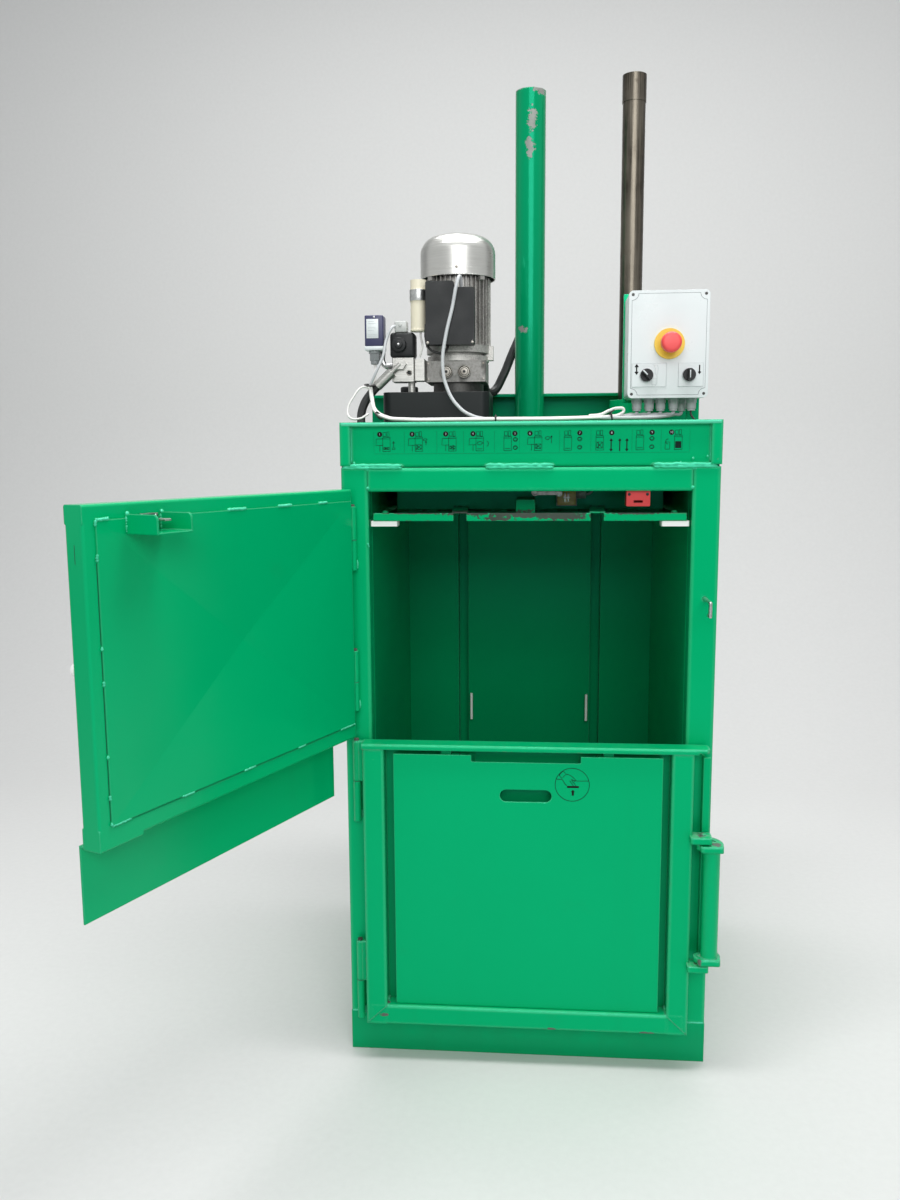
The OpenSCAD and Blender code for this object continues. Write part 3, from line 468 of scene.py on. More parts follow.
# The press head and deck get a darker copy of the green: painted shade.
deck_shaded_green = painted("deck_shaded_green_paint", (0.0, 0.24, 0.084), grime=0.12, dust=0.03)
# The side walls get a slightly darker copy of the green: painted shade.
side_shaded_green = painted("side_shaded_green_paint", (0.0, 0.35, 0.122), wear=0.2, grime=0.03, rounding=0.0008,
                     thin=0.2)
# The chamber walls get a darker copy of the green: painted shade of the closed chamber.
wall_shaded_green = painted("inner_shaded_green_paint", (0.0, 0.27, 0.092), wear=0.35, grime=0.12, gloss=0.3,
                     dust=0.03)
platen_green = painted("platen_green_paint", (0.0006, 0.37, 0.13), wear=0.75, grime=0.35, reach=0.004,
                       bare=(0.085, 0.075, 0.066),
                       marks=[(0, 8, 1172, 95, 7), (70, 8, 1168, 60, 7), (-120, 8, 1174, 70, 4),
                              (215, 8, 1174, 60, 3), (-230, 8, 1175, 60, 3), (-60, 8, 1163, 30, 4)])
# The cylinder barrel gets a darker copy of the green: painted shade.
barrel_shaded_green = painted("barrel_shaded_paint", (0.0, 0.25, 0.096), gloss=0.12, bare=(0.36, 0.35, 0.33),
                       marks=[(3, 297, 2017, 9, 22), (-2, 297, 1957, 9, 18), (0, 330, 2084, 34, 5),
                              (22, 305, 2080, 16, 9), (-15, 300, 1571, 12, 7)])
black_paint = painted("black_paint", (0.008, 0.012, 0.012), wear=0.15, grime=0.05, gloss=0.35,
                      dust=0.03)
print("paints:", [m.name for m in bpy.data.materials if m.name.endswith("paint")])

# %% [markdown]
# ## Bare and plated metal, plastics and rubber
# Rods are ground or drawn steel with fine lines along them, blocks are milled or cast aluminium,
# small parts are zinc plated, and the boxes are moulded plastic with a fine grain. Two builders
# cover them all: one for metals and one for plastics, each with its own colour, grain and marks.

# %% Metal and plastic
def metal(name, light, dark, rough=(0.25, 0.45), lines=(1, 1, 1), spots=0.2,
          spot_colour=(0.10, 0.05, 0.025), grain=220.0, depth=0.0001, metallic=1.0):
    """Steel or aluminium between two colours. lines stretches its grain along an axis."""
    made, shader, place = surface(name)
    along = add("Mapping", {"Vector": place, "Scale": lines}).outputs[0]
    streak = noise(along, grain, 3.0, 0.6)
    cloud = noise(place, 7.0, 5.0)
    blend = plus(times(streak, 0.5), times(cloud, 0.5))
    base = mix(spread(blend, 0.36, 0.64), rgb(*dark), rgb(*light))
    stain = times(use("blotch", Scale=24.0, Low=0.55, High=0.72), spots)
    base = mix(stain, base, rgb(*spot_colour))
    dull = plus(spread(blend, 0.3, 0.7, *rough), times(stain, 0.4), clamp=True)
    if metallic == 1.0:
        metallic = minus(1.0, times(stain, 0.8))
    feed(shader, {"Base Color": base, "Roughness": dull, "Metallic": metallic})
    relief(shader, plus(streak, times(stain, 0.6)), depth, 0.0006)
    return made


def plastic(name, colour, rough=0.4, grain=420.0, depth=0.00012, dust=0.15, marks=0.15, fade=0.06,
            shine=0.5):
    """Moulded plastic or rubber with a fine grain, smudges and dust."""
    made, shader, place = surface(name)
    r, g, b = colour
    tone = noise(place, 5.0, 4.0)
    base = mix(tone, rgb(r * (1 - fade), g * (1 - fade), b * (1 - fade)), rgb(r, g, b))
    smudge = times(use("blotch", Scale=16.0, Low=0.55, High=0.8), marks)
    base = mix(smudge, base, rgb(r * 0.55 + 0.02, g * 0.52 + 0.02, b * 0.48 + 0.015))
    powder = use("dust", Amount=dust)
    base = mix(powder, base, rgb(0.5, 0.48, 0.44))
    dull = spread(noise(place, 20.0, 4.0), 0.3, 0.7, rough - 0.06, rough + 0.08)
    dull = plus(dull, times(powder, 0.3), clamp=True)
    feed(shader, {"Base Color": base, "Roughness": dull, "Specular IOR Level": shine})
    relief(shader, noise(place, grain, 2.0), depth, 0.0008)
    return made


# %% Metals
bare_steel = metal("bare_steel", (0.42, 0.40, 0.36), (0.20, 0.19, 0.17), (0.3, 0.55), spots=0.35)
guide_steel = metal("guide_steel", (0.165, 0.148, 0.12), (0.05, 0.044, 0.035), (0.22, 0.38),
                    lines=(1, 1, 0.03), spots=0.5, spot_colour=(0.05, 0.03, 0.018))
zinc_steel = metal("zinc_steel", (0.62, 0.63, 0.62), (0.40, 0.41, 0.41), (0.25, 0.42), spots=0.12)
bright_zinc = metal("bright_zinc", (0.95, 0.95, 0.92), (0.85, 0.85, 0.82), (0.35, 0.5), spots=0.03,
                    metallic=0.0)
bolt_steel = metal("bolt_steel", (0.10, 0.10, 0.095), (0.045, 0.045, 0.045), (0.35, 0.55))
chromed = metal("chromed_rod", (0.75, 0.76, 0.77), (0.62, 0.63, 0.64), (0.08, 0.16),
                lines=(0.2, 0.2, 3.0), spots=0.03)
milled = metal("milled_aluminium", (0.56, 0.56, 0.53), (0.38, 0.38, 0.36), (0.28, 0.45),
               lines=(0.15, 1, 2.0), spots=0.14, spot_colour=(0.12, 0.11, 0.09), metallic=0.85)
cast = metal("cast_aluminium", (0.56, 0.55, 0.52), (0.26, 0.255, 0.245), (0.36, 0.55), grain=320.0,
             depth=0.0004, spots=0.35, spot_colour=(0.10, 0.095, 0.085), metallic=0.7)
spun = metal("spun_aluminium", (0.60, 0.60, 0.575), (0.53, 0.53, 0.505), (0.27, 0.36),
             lines=(0.1, 0.1, 2.0), spots=0.06, spot_colour=(0.3, 0.29, 0.26), depth=0.000006,
             metallic=0.85)
pump_cast = metal("pump_cast", (0.30, 0.295, 0.28), (0.15, 0.145, 0.135), (0.36, 0.55), grain=200.0,
                  depth=0.0006, spots=0.5, spot_colour=(0.05, 0.048, 0.042), metallic=0.5)
rusty_steel = metal("rusty_steel", (0.13, 0.12, 0.105), (0.04, 0.034, 0.028), (0.5, 0.7), spots=0.3,
                    metallic=0.3)
print("last of the metals:", rusty_steel.name)

# %% Plastics, rubber and cables
black_plastic = plastic("black_plastic", (0.013, 0.015, 0.016), 0.42, fade=0.2, dust=0.05, shine=0.3)
box_plastic = plastic("white_plastic", (0.69, 0.74, 0.74), 0.32, dust=0.1, marks=0.06, fade=0.03)
grey_plastic = plastic("grey_plastic", (0.27, 0.29, 0.295), 0.45)
blue_plastic = plastic("blue_plastic", (0.035, 0.038, 0.10), 0.4)
cream_plastic = plastic("cream_plastic", (0.82, 0.77, 0.60), 0.38, marks=0.08)
red_plastic = plastic("red_plastic", (0.62, 0.035, 0.035), 0.36)
bright_red = plastic("bright_red_plastic", (0.86, 0.075, 0.075), 0.34, marks=0.05)
yellow_plastic = plastic("yellow_plastic", (0.82, 0.57, 0.05), 0.4, marks=0.05)
nylon = plastic("nylon", (0.93, 0.93, 0.91), 0.45, marks=0.08, dust=0.05)
hose_rubber = plastic("hose_rubber", (0.016, 0.018, 0.018), 0.5, grain=700.0, depth=0.0003)
cable_grey = plastic("grey_cable", (0.52, 0.54, 0.55), 0.42, marks=0.2)
cable_white = plastic("white_cable", (0.80, 0.79, 0.76), 0.4, marks=0.12)
cable_black = plastic("black_cable", (0.018, 0.018, 0.018), 0.45)
window_plastic = plastic("window_plastic", (0.85, 0.56, 0.20), 0.18, marks=0.3)
print(len(bpy.data.materials), "materials")

# %% Every node gets its finish
FINISH = {
    green_paint: "hinge_knuckles latch_keeper guide_collar box_bracket door_pan "
                 "door_plate door_skirt lift_panel lock_guard",
    tab_green: "gate_tabs",
    deck_shaded_green: "press_head top_deck",
    tube_green: "left_post right_post top_tube header rear_posts",
    worn_green: "gate_frame latch_handle",
    low_shaded_green: "plinth",
    side_shaded_green: "left_wall right_wall",
    wall_shaded_green: "back_wall gate_back",
    barrel_shaded_green: "cylinder_barrel",
    platen_green: "platen_plate",
    bare_steel: "cylinder_gland motor_rotor",
    guide_steel: "guide_rod",
    zinc_steel: "hard_line lock_key limit_lever door_catch",
    bright_zinc: "strap_hooks",
    bolt_steel: "frame_bolts pump_unit",
    chromed: "piston_rod",
    milled: "valve_block",
    cast: "motor_body",
    pump_cast: "pump_block",
    rusty_steel: "hinge_pins",
    spun: "fan_cover",
    black_paint: "oil_tank",
    black_plastic: "terminal_box solenoid_coil selector_left selector_right",
    box_plastic: "box_base box_lid",
    grey_plastic: "control_gear limit_switch",
    blue_plastic: "pressure_switch",
    cream_plastic: "capacitor",
    red_plastic: "safety_switch",
    bright_red: "estop_button",
    yellow_plastic: "estop_disc",
    nylon: "nylon_pads",
    hose_rubber: "hydraulic_hoses",
    cable_grey: "cable_loom cable_glands",
}
dressed = set()
for finish_material, names in FINISH.items():
    for name in names.split():
        NODES[name].data.materials.clear()
        NODES[name].data.materials.append(finish_material)
        dressed.add(name)
print("nodes without a finish:", sorted(set(NODES) - dressed))

# %% [markdown]
# ## Loading door
# The inner plate of the door is cross broken: it is creased from corner to corner, so that it stays
# stiff and doesn't drum. Poking a face makes just that shape, a centre point with four facets.
# The door is modelled closed, in its own length, depth and height, and is then swung open.

# %% Door: where it hangs
DOOR_OPEN = math.radians(113.3)
HINGE_AXIS = (-356, -12)
DOOR = Matrix.Translation(at(*HINGE_AXIS, 0)) @ Matrix.Rotation(-DOOR_OPEN, 4, "Z")


def on_door(place):
    """A point in the door's own length, depth and height, as a point of the drawing."""
    return place[0], place[1] - FRONT, place[2]


def door_block(low, high, round_off=0.0):
    """A box in the door's own measures."""
    return block(on_door(low), on_door(high), round_off)


def swing(piece):
    """Swings a piece that was made on the closed door to where the door stands."""
    piece.matrix_world = DOOR
    return settle(piece)


# %% Door: cross-broken inner plate
PLATE_LOW, PLATE_HIGH = (17, 7, 742), (680, 9.5, 1201)
CREASE = 0.013

sheet = door_block(PLATE_LOW, PLATE_HIGH)
edit(sheet, faces=lambda f: f.normal.y > 0.9)
bpy.ops.mesh.poke(offset=-CREASE)
leave()
edit(sheet, faces=lambda f: f.normal.y < -0.999)
bpy.ops.mesh.poke(offset=CREASE)
leave()
door_sheet = finish(swing(sheet), "door_cross_broken_plate", green_paint, "door", 2)
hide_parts("door_plate")

# %% [markdown]
# ## Welds
# A weld is a row of small overlapping drops. A curve through the seam gets a radius that rises and
# falls every few millimetres and a slight wander, both from a seeded generator, so each run is the
# same. Seams that were ground flat get a low bead that only fills the groove between two tubes.

# %% Weld tool
def curve(name, radius, rounding, caps=True):
    """An empty curve that will be a bar of this radius in millimetres."""
    data = bpy.data.curves.new(name, "CURVE")
    data.dimensions = "3D"
    data.bevel_depth = radius * MM
    data.bevel_resolution = rounding
    data.use_fill_caps = caps
    return data


def curve_mesh(data):
    """Turns a curve into a mesh."""
    piece = bpy.data.objects.new(data.name, data)
    bpy.context.scene.collection.objects.link(piece)
    only(piece)
    bpy.ops.object.convert(target="MESH")
    return bpy.context.object


def bead(start, end, radius, pitch=4.0, wander=0.5, ripple=0.22, seed=1):
    """A weld bead between two points in millimetres."""
    chance = random.Random(seed)
    data = curve("bead", 1, 2)
    a, b = Vector(start), Vector(end)
    steps = max(1, round((b - a).length / (pitch / 2)))
    knots = [a.lerp(b, k / steps) for k in range(steps)] + [b]
    line = data.splines.new("POLY")
    line.points.add(len(knots) - 1)
    for k, (knot, spot) in enumerate(zip(line.points, knots)):
        shift = Vector([chance.uniform(-wander, wander) for _ in range(3)])
        knot.co = (*at(*(spot + shift)), 1)
        swell = 1 + ripple * (1 if k % 2 else -1) + chance.uniform(-0.1, 0.1)
        knot.radius = radius * (swell if 0 < k < len(knots) - 1 else 0.45)
    return curve_mesh(data)


def door_bead(start, end, radius, seed):
    """The same on the closed door: length, depth, height."""
    return bead(on_door(start), on_door(end), radius, seed=seed)


def drop(place, size):
    """One flattened blob of weld or paint."""
    clear()
    bpy.ops.mesh.primitive_uv_sphere_add(segments=12, ring_count=8, radius=size * MM,
                                         location=at(*place), scale=(1, 0.6, 1))
    return settle(bpy.context.object)


# %% [markdown]
# ## Door: tack welds and the little things on it
# The plate is tacked on, not welded all round. Between the tacks a thin dark gap shows, drawn as a
# strip of painted shadow, and the tacks stand proud and catch the light, which a paler green paints
# as a highlight. Each tack is a short bead laid over the edge of the plate.

# %% Door tacks
TACKS_SIDE = [(1192, 1201), (1140, 1152), (1010, 1016), (956, 964), (846, 852), (782, 790), (742, 748)]
TACKS_TOP = [(655, 680), (344, 392), (214, 254), (100, 128)]
TACKS_LOW = [(17, 70), (190, 214), (340, 372), (500, 530), (640, 680)]
SIDE_U, TOP_Z, LOW_Z = 680.5, 1201.5, 741.4
tacks = [door_bead((SIDE_U, 9, a), (SIDE_U, 9, b), 2.3, k) for k, (a, b) in enumerate(TACKS_SIDE)]
tacks += [door_bead((a, 9, TOP_Z), (b, 9, TOP_Z), 2.6, k) for k, (a, b) in enumerate(TACKS_TOP, 20)]
tacks += [door_bead((a, 8.6, LOW_Z), (b, 8.6, LOW_Z), 1.9, k) for k, (a, b) in enumerate(TACKS_LOW, 40)]
for u in (548.5, 620.5):
    tacks.append(door_bead((u, 10, 1179), (u, 10, 1205), 2.4, int(u)))
    tacks.append(door_bead((u, 9.5, 1207), (u, 14, 1208), 3.0, int(u) + 1))
finish(swing(join(tacks)), "door_tack_welds", weld_highlight_green, "door", 60)

# %% Door gaps, foot plate of the key and bumper
# These dark strips and rings are painted shadow: along the edges of the door plate, in a slit of its
# free edge, between the hinge knuckles and in the fan grille.
painted_gap_shadow = plastic("shadow_gap", (0.0, 0.06, 0.03), 0.7, marks=0.0, dust=0.0)
GAPS_SIDE = ((1018, 1138), (966, 1008), (854, 954), (750, 844))
gaps = [door_block((680.1, 6.9, a), (681.0, 7.4, b)) for a, b in GAPS_SIDE]
gaps.append(door_block((70, 6.9, 740.8), (640, 7.4, 741.8)))
gaps.append(door_block((702.7, -11.6, 1138), (703.2, -10.6, 1166)))
finish(swing(join(gaps)), "door_gaps", painted_gap_shadow, "door")

foot = door_block((562, 12.4, 1181), (592, 17, 1205), 1.5)
slide = door_block((566, 16, 1188), (588, 22, 1198), 1.2)
finish(swing(join([foot, slide])), "key_foot", black_plastic, "door")
tongue = [door_block((u, 22, 1194.6), (u + 2, 49, 1198.4), 0.6) for u in (569.5, 580.5)]
tongue += [door_block((u, 15.5, 1201), (u + 5, 18.4, 1204.5), 1.0) for u in (565, 583)]
finish(swing(join(tongue)), "key_teeth_and_rivets", zinc_steel, "door")

bumper = drum(on_door((693, -37.8, 980)), "y", 8.6, 9.4, 2.2)
finish(swing(bumper), "door_bumper", nylon, "door")

# %% [markdown]
# ## Cables and hoses
# The cables are held along the header by ties, so each is a smooth curve through the points where
# it is held. A curve with round depth gives an even tube, and it is turned into a mesh at the end.

# %% Cable tool
CABLE_MM = []


def cable(route, radius, steps=8):
    """A round cable through points of the drawing in millimetres."""
    data = curve("route", radius, 3)
    data.resolution_u = steps
    line = data.splines.new("BEZIER")
    line.bezier_points.add(len(route) - 1)
    for knot, p in zip(line.bezier_points, route):
        knot.co = at(*p)
        knot.handle_left_type = knot.handle_right_type = "AUTO"
    CABLE_MM.append((radius, round(line.calc_length() / MM)))
    return curve_mesh(data)


# %% Five cables from the glands
LOOM_Y, LOOM_Z = 22, 1363
GLANDS = [(221, 92), (246, 92), (269, 92), (295, 92), (314, 112)]
GLAND_END = 1378
gland_tails = []
for k, (x, y) in enumerate(GLANDS):
    route = [(x, y, GLAND_END + 3), (x, y, GLAND_END - 4), (x - 14, y - 8, LOOM_Z + 8),
             (x - 42, 54, LOOM_Z + 2.5 + k % 2 * 1.5), (x - 70, LOOM_Y + 7, LOOM_Z),
             (128 - 4 * k, LOOM_Y, LOOM_Z)]
    gland_tails.append(cable(route, 3.4))
tails = finish(gland_tails, "gland_cables", cable_grey)

# %% White strands along the deck
LOOM = [(145, LOOM_Y, LOOM_Z), (60, LOOM_Y, LOOM_Z - 2), (-60, LOOM_Y, LOOM_Z - 2),
        (-160, LOOM_Y, LOOM_Z - 2), (-250, LOOM_Y + 4, LOOM_Z - 1), (-292, LOOM_Y + 20, LOOM_Z + 4),
        (-316, 56, LOOM_Z + 18), (-326, 74, LOOM_Z + 44), (-330, 80, LOOM_Z + 72)]
STRANDS = [(0, 2.6, 0), (0, -2.6, 0.4), (2.2, 0, 2.6)]
strands = [cable([(x + dx, y + dy, z + dz) for x, y, z in LOOM], 2.8) for dx, dy, dz in STRANDS]
strands.append(cable([(-330, 78, 1429), (-342, 70, 1432), (-362, 60, 1410), (-372, 50, 1384),
                      (-366, 42, 1368), (-348, 44, 1366), (-330, 56, 1376)], 2.2, 12))
strands.append(cable([(-330, 80, 1433), (-322, 96, 1451), (-322, 108, 1467), (-324, 116, 1481)], 3))
strands.append(cable([(-226, 112, 1549), (-226, 112, 1538), (-222, 106, 1518), (-224, 104, 1506),
                      (-228, 106, 1494)], 2.2))
white_loom = finish(strands, "white_loom", cable_white)

# %% Grey cables
MOTOR_ROUTE = [(-140, 104, 1618), (-140, 96, 1640), (-142, 84, 1652), (-146, 74, 1640),
               (-156, 70, 1590), (-170, 66, 1530), (-176, 62, 1480), (-168, 58, 1430),
               (-140, 44, 1386), (-110, 30, 1368), (-90, LOOM_Y, LOOM_Z)]
COIL_ROUTE = [(-330, 80, 1433), (-316, 76, 1462), (-302, 82, 1494), (-295, 91, 1530),
              (-284, 97, 1554), (-279, 106, 1558)]
LIMIT_ROUTE = [(121, 193, 1205), (132, 193, 1206), (142, 193, 1222), (142, 193, 1262),
               (142, 190, 1300), (142, 120, 1342), (142, 60, 1366), (138, 26, 1364), (120, 22, 1362)]
greys = finish([cable(MOTOR_ROUTE, 3.6), cable(COIL_ROUTE, 3), cable(LIMIT_ROUTE, 3)],
               "grey_cables", cable_grey)

# %% Black leads
LEAD_ROUTE = [(331, 92, 1381), (331, 92, 1371), (344, 88, 1354), (358, 78, 1336), (352, 66, 1306),
              (320, 62, 1286), (280, 62, 1280), (256, 62, 1276), (250, 62, 1260), (244, 60, 1236),
              (234, 56, 1212), (230, 46, 1204), (230, 43, 1203)]
JUMPER_ROUTE = [(-214, 100, 1560), (-214, 98, 1530), (-208, 98, 1512), (-190, 100, 1502),
                (-174, 102, 1504), (-167, 104, 1518)]
blacks = finish([cable(LEAD_ROUTE, 2), cable(JUMPER_ROUTE, 2.5)],
                "black_leads", cable_black)
for piece in (tails, white_loom, greys, blacks):
    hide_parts("cable_loom")

# %% Hydraulic hoses
PRESSURE = [(-105, 240, 1470), (-105, 262, 1470), (-103, 300, 1452), (-96, 336, 1434),
            (-82, 356, 1438), (-62, 364, 1472), (-42, 368, 1520), (-20, 376, 1572), (-5, 388, 1622),
            (0, 392, 1665), (0, 392, 1690)]
RETURN = [(-317, 96, 1434), (-330, 96, 1420), (-346, 92, 1394), (-350, 84, 1362),
          (-340, 72, 1340), (-300, 66, 1334), (-200, 66, 1334), (-110, 66, 1336), (-76, 84, 1342),
          (-68, 130, 1350), (-67, 240, 1358), (-67, 330, 1362), (-62, 378, 1364), (-42, 402, 1365),
          (-14, 404, 1365), (0, 392, 1365), (0, 377, 1365)]
hoses = finish([cable(PRESSURE, 10, 10), cable(RETURN, 9, 10)], "hoses", hose_rubber)
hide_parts("hydraulic_hoses")

# %% Ties round the cables
def ring(centre, turn, radius, thickness, sides=48):
    """A round wire ring about an axis, or turned by three angles."""
    clear()
    bpy.ops.mesh.primitive_torus_add(
        location=at(*centre), rotation=TURN.get(turn, turn), major_radius=radius * MM,
        minor_radius=thickness * MM, major_segments=sides, minor_segments=8)
    return settle(bpy.context.object)


TIES = [((-331, 81, 1436), (0.2, 0.1, 0), 9.5), ((-306, 40, 1372), (0.3, 0.9, 0), 8.5),
        ((165, 25, 1365), (0, 1.4, 0), 8.5), ((-66, 22, 1362), (0, 1.57, 0), 7.5)]
ties = [ring(place, turn, radius, 1.7, 28) for place, turn, radius in TIES]
finish(ties, "cable_ties", cable_black)
tie_tail = cable([(160, 17, 1369), (164, 14, 1374), (170, 14, 1378)], 1.4)
finish(tie_tail, "tie_tail", cable_black)
loop_end = cable([(120, 22, 1367), (145, 24, 1370), (160, 28, 1377), (178, 32, 1382), (190, 36, 1379),
                  (184, 34, 1371), (160, 26, 1366), (130, 23, 1365)], 2.9, 10)
finish(loop_end, "spare_cable_loop", cable_white)
print("radius and length of each cable in mm:", CABLE_MM)

# %% [markdown]
# ## Frame welds
# The sign panel stands on three weld pads, each with two smooth beads. The seams of the tube frame
# were ground, so only a low bead fills the groove. The ribs on the sides are stitched: one short
# bead is made, and its copies are set along each rib.

# %% Header and frame welds
lumps = []
PADS = ((-377, -255), (-85, 50), (247, 372))
SPATTER = ((324, -0.5, 1282), (352, -0.5, 1286), (300, 0, 1275), (-352, 0, 1276), (330, -1, 1262),
           (-325, -0.2, 1107), (-326.5, -0.2, 1111))
for k, (a, b) in enumerate(PADS):
    lumps.append(bead((a, 0, 1270.5), (b, 0, 1270.5), 3.6, 18, 0.8, 0.14, seed=50 + k))
    lumps.append(bead((a, -0.8, 1266), (b, -0.8, 1266), 3.0, 14, 0.7, 0.14, seed=60 + k))
lumps += [drop(place, 2.4 - 0.3 * (k % 3)) for k, place in enumerate(SPATTER)]
for side in (-1, 1):
    lumps += [drop((side * 325, 0.4, z), 3.6) for z in (1263, 1225)]
    lumps.append(bead((side * 359, 8, 1276), (side * 359, 8, 1350), 1.6, 5, 0.3, seed=80 + side))
    lumps.append(bead((side * 378, 1, 88.5), (side * 328, 1, 88.5), 2.4, seed=84 + side))
for low, high in ((765, 825), (1059, 1120), (81, 167), (526, 613)):
    lumps.append(bead((-363, -1.5, low + 4), (-363, -1.5, high - 4), 2.6, 5, 0.4, seed=low))
    lumps.append(bead((-349, -1.5, low + 2), (-349, -1.5, low + 20), 2.2, 5, 0.4, seed=high))
# The pads and beads take the paler green, a painted highlight.
finish(lumps, "frame_welds", weld_highlight_green, smooth=60)

# %% Painted shadow in the gaps between the knuckles of the four hinges
HINGE_SPLITS = (167.8, 613.8, 825.8, 1120.8)
splits = [ring((*HINGE_AXIS, z), "z", 7.9, 0.6, 32) for z in HINGE_SPLITS]
finish(splits, "hinge_gaps", painted_gap_shadow)

# %% Rolled edges of the sign panel
# These rolled edges are paler green, a painted highlight of the light on them.
lip = drum((-377, -0.8, 1352.8), "x", 754, 4.4, 1.5, 24)
sides = [drum((x, -0.5, 1272), "z", 80, 3.4, 1.2, 20) for x in (-376.4, -362.4, 362.4, 376.4)]
finish([lip] + sides, "sign_panel_rolled_edges", rolled_highlight_green, smooth=60)

# %% Stitches along the side ribs and the back
STITCH_X, STITCH_Y, STITCH_Z = 332.5, 90, 190
BACK_Y = 684.6
LEVELS, STARTS = (189, 251, 539, 601, 889, 951), (90, 225, 360, 495, 630)
stitch = bead((STITCH_X, STITCH_Y, STITCH_Z), (STITCH_X, STITCH_Y + 40, STITCH_Z), 2.6, seed=5)
stitches = [stitch]
for side, level, start in [(s, z, y) for s in (1, -1) for z in LEVELS for y in STARTS][1:]:
    twin = stitch.copy()
    twin.data = stitch.data.copy()
    bpy.context.scene.collection.objects.link(twin)
    twin.scale.x = side
    twin.location = Vector((0, start - STITCH_Y, level - STITCH_Z)) * MM
    settle(twin)
    if side < 0:
        edit(twin)
        bpy.ops.mesh.normals_make_consistent(inside=False)
        leave()
    stitches.append(twin)
for x in (-194.5, -161.5, 161.5, 194.5):
    for z in (140, 420, 700, 980, 1210):
        stitches.append(bead((x, BACK_Y, z), (x, BACK_Y, z + 36), 2.2, seed=int(x + z) % 97))
finish(stitches, "stitch_welds", green_paint, smooth=60)

# %% Gate welds
gate_lines = []
for side in (-1, 1):
    outer, inner = side * 338 - 1, side * 294 - 1
    gate_lines.append(bead((inner, -44.8, 126.5), (outer - side * 3, -44.8, 88), 1.5, 5, 0.25, 0.12,
                           seed=90 + side))
    gate_lines.append(bead((outer, -44, 690), (inner, -44, 690), 1.3, 5, 0.2, seed=95 + side))
    gate_lines.append(bead((inner, -24, 129), (inner, -9, 129), 3.0, seed=98 + side))
for low, high in ((168, 257), (614, 700)):
    gate_lines.append(bead((-341, -18.4, low + 3), (-341, -18.4, high - 3), 2.4, 5, 0.4, seed=low))
for z, seed in ((512, 7), (236, 8)):
    gate_lines.append(bead((338, -42, z), (338, -42, z + 11), 2.6, seed=seed))
finish(gate_lines, "gate_welds", worn_green, "gate", 60)

# %% [markdown]
# ## Line drawings
# The sign panel carries ten small line drawings of how the press is used, each with its number in a
# black dot. Ink has no thickness worth modelling, but a line must be a mesh to keep its place, so
# each stroke is a very thin square rod lying on the sheet.

# %% Ink tool
ink = plastic("ink", (0.002, 0.020, 0.014), 0.5, marks=0.0, dust=0.0, shine=0.15)
dot_ink = plastic("dot_ink", (0.003, 0.004, 0.004), 0.45, marks=0.0, dust=0.0, shine=0.15)
INK_FLATNESS = 0.3


def strokes(lines, width, y):
    """Flat lines of x and z in millimetres, drawn on a sheet that faces the front."""
    data = curve("strokes", width / 2, 0, caps=False)
    for points in lines:
        line = data.splines.new("POLY")
        line.points.add(len(points) - 1)
        for knot, (x, z) in zip(line.points, points):
            knot.co = (*at(x, y, z), 1)
    edit(curve_mesh(data))
    bpy.ops.transform.resize(value=(1, INK_FLATNESS, 1), center_override=at(0, y, 0))
    return leave()


def box_line(x, z, w, h):
    """A rectangle from its lower left corner."""
    return [(x, z), (x + w, z), (x + w, z + h), (x, z + h), (x, z)]


def arc(x, z, r, start, end, steps=14):
    """Part of a circle between two angles in degrees."""
    angles = [math.radians(start + (end - start) * k / steps) for k in range(steps + 1)]
    return [(x + r * math.cos(a), z + r * math.sin(a)) for a in angles]


def arrow(x, low, high, head=3.0, both=False):
    """An upright line with a head at the high end, or at both."""
    w = head * 0.6
    lines = [[(x, low), (x, high)], [(x - w, high - head), (x, high), (x + w, high - head)]]
    if both:
        lines.append([(x - w, low + head), (x, low), (x + w, low + head)])
    return lines


HAND = [(0, 0), (5, 1.5), (9, 1), (12, -1), (12, -3), (8, -2.5), (9, -5), (6, -6), (2, -5), (-1, -3),
        (0, 0)]


def hand(x, z, size):
    """A small pointing hand."""
    return [[(x + a * size, z + b * size) for a, b in HAND]]


# %% Parts of one drawing
Z = 1333


def press_icon(x, door_leaf, full, marks):
    """One drawing: two cylinders, the head, the chamber, and what is special in this step."""
    low, high = Z - 30, Z - 30 + full
    lines = [box_line(x, Z - 4, 6, 8), box_line(x + 8, Z - 5, 4, 10), box_line(x - 1, Z - 9, 15, 3),
             box_line(x - 1, Z - 34, 15, 25), [(x + 1, low), (x + 12, low)]]
    if full:
        lines += [box_line(x + 1, low, 11, full), [(x + 1, low), (x + 12, high)],
                  [(x + 12, low), (x + 1, high)], [(x + 4, low), (x + 4, high)]]
    if door_leaf:
        lines += [[(x - 1, Z - 9), (x - 14, Z - 9), (x - 15, Z - 22), (x - 7, Z - 22), (x - 7, Z - 34)],
                  [(x - 1, Z - 22), (x - 7, Z - 22)]]
    return lines + marks


def two_knobs(x):
    """A hand at each of two round knobs."""
    knobs = [arc(x, Z - 12, 4, 0, 360), arc(x, Z - 28, 4, 0, 360)]
    return knobs + hand(x - 4, Z - 10, 0.7) + hand(x - 4, Z - 27, 0.7)


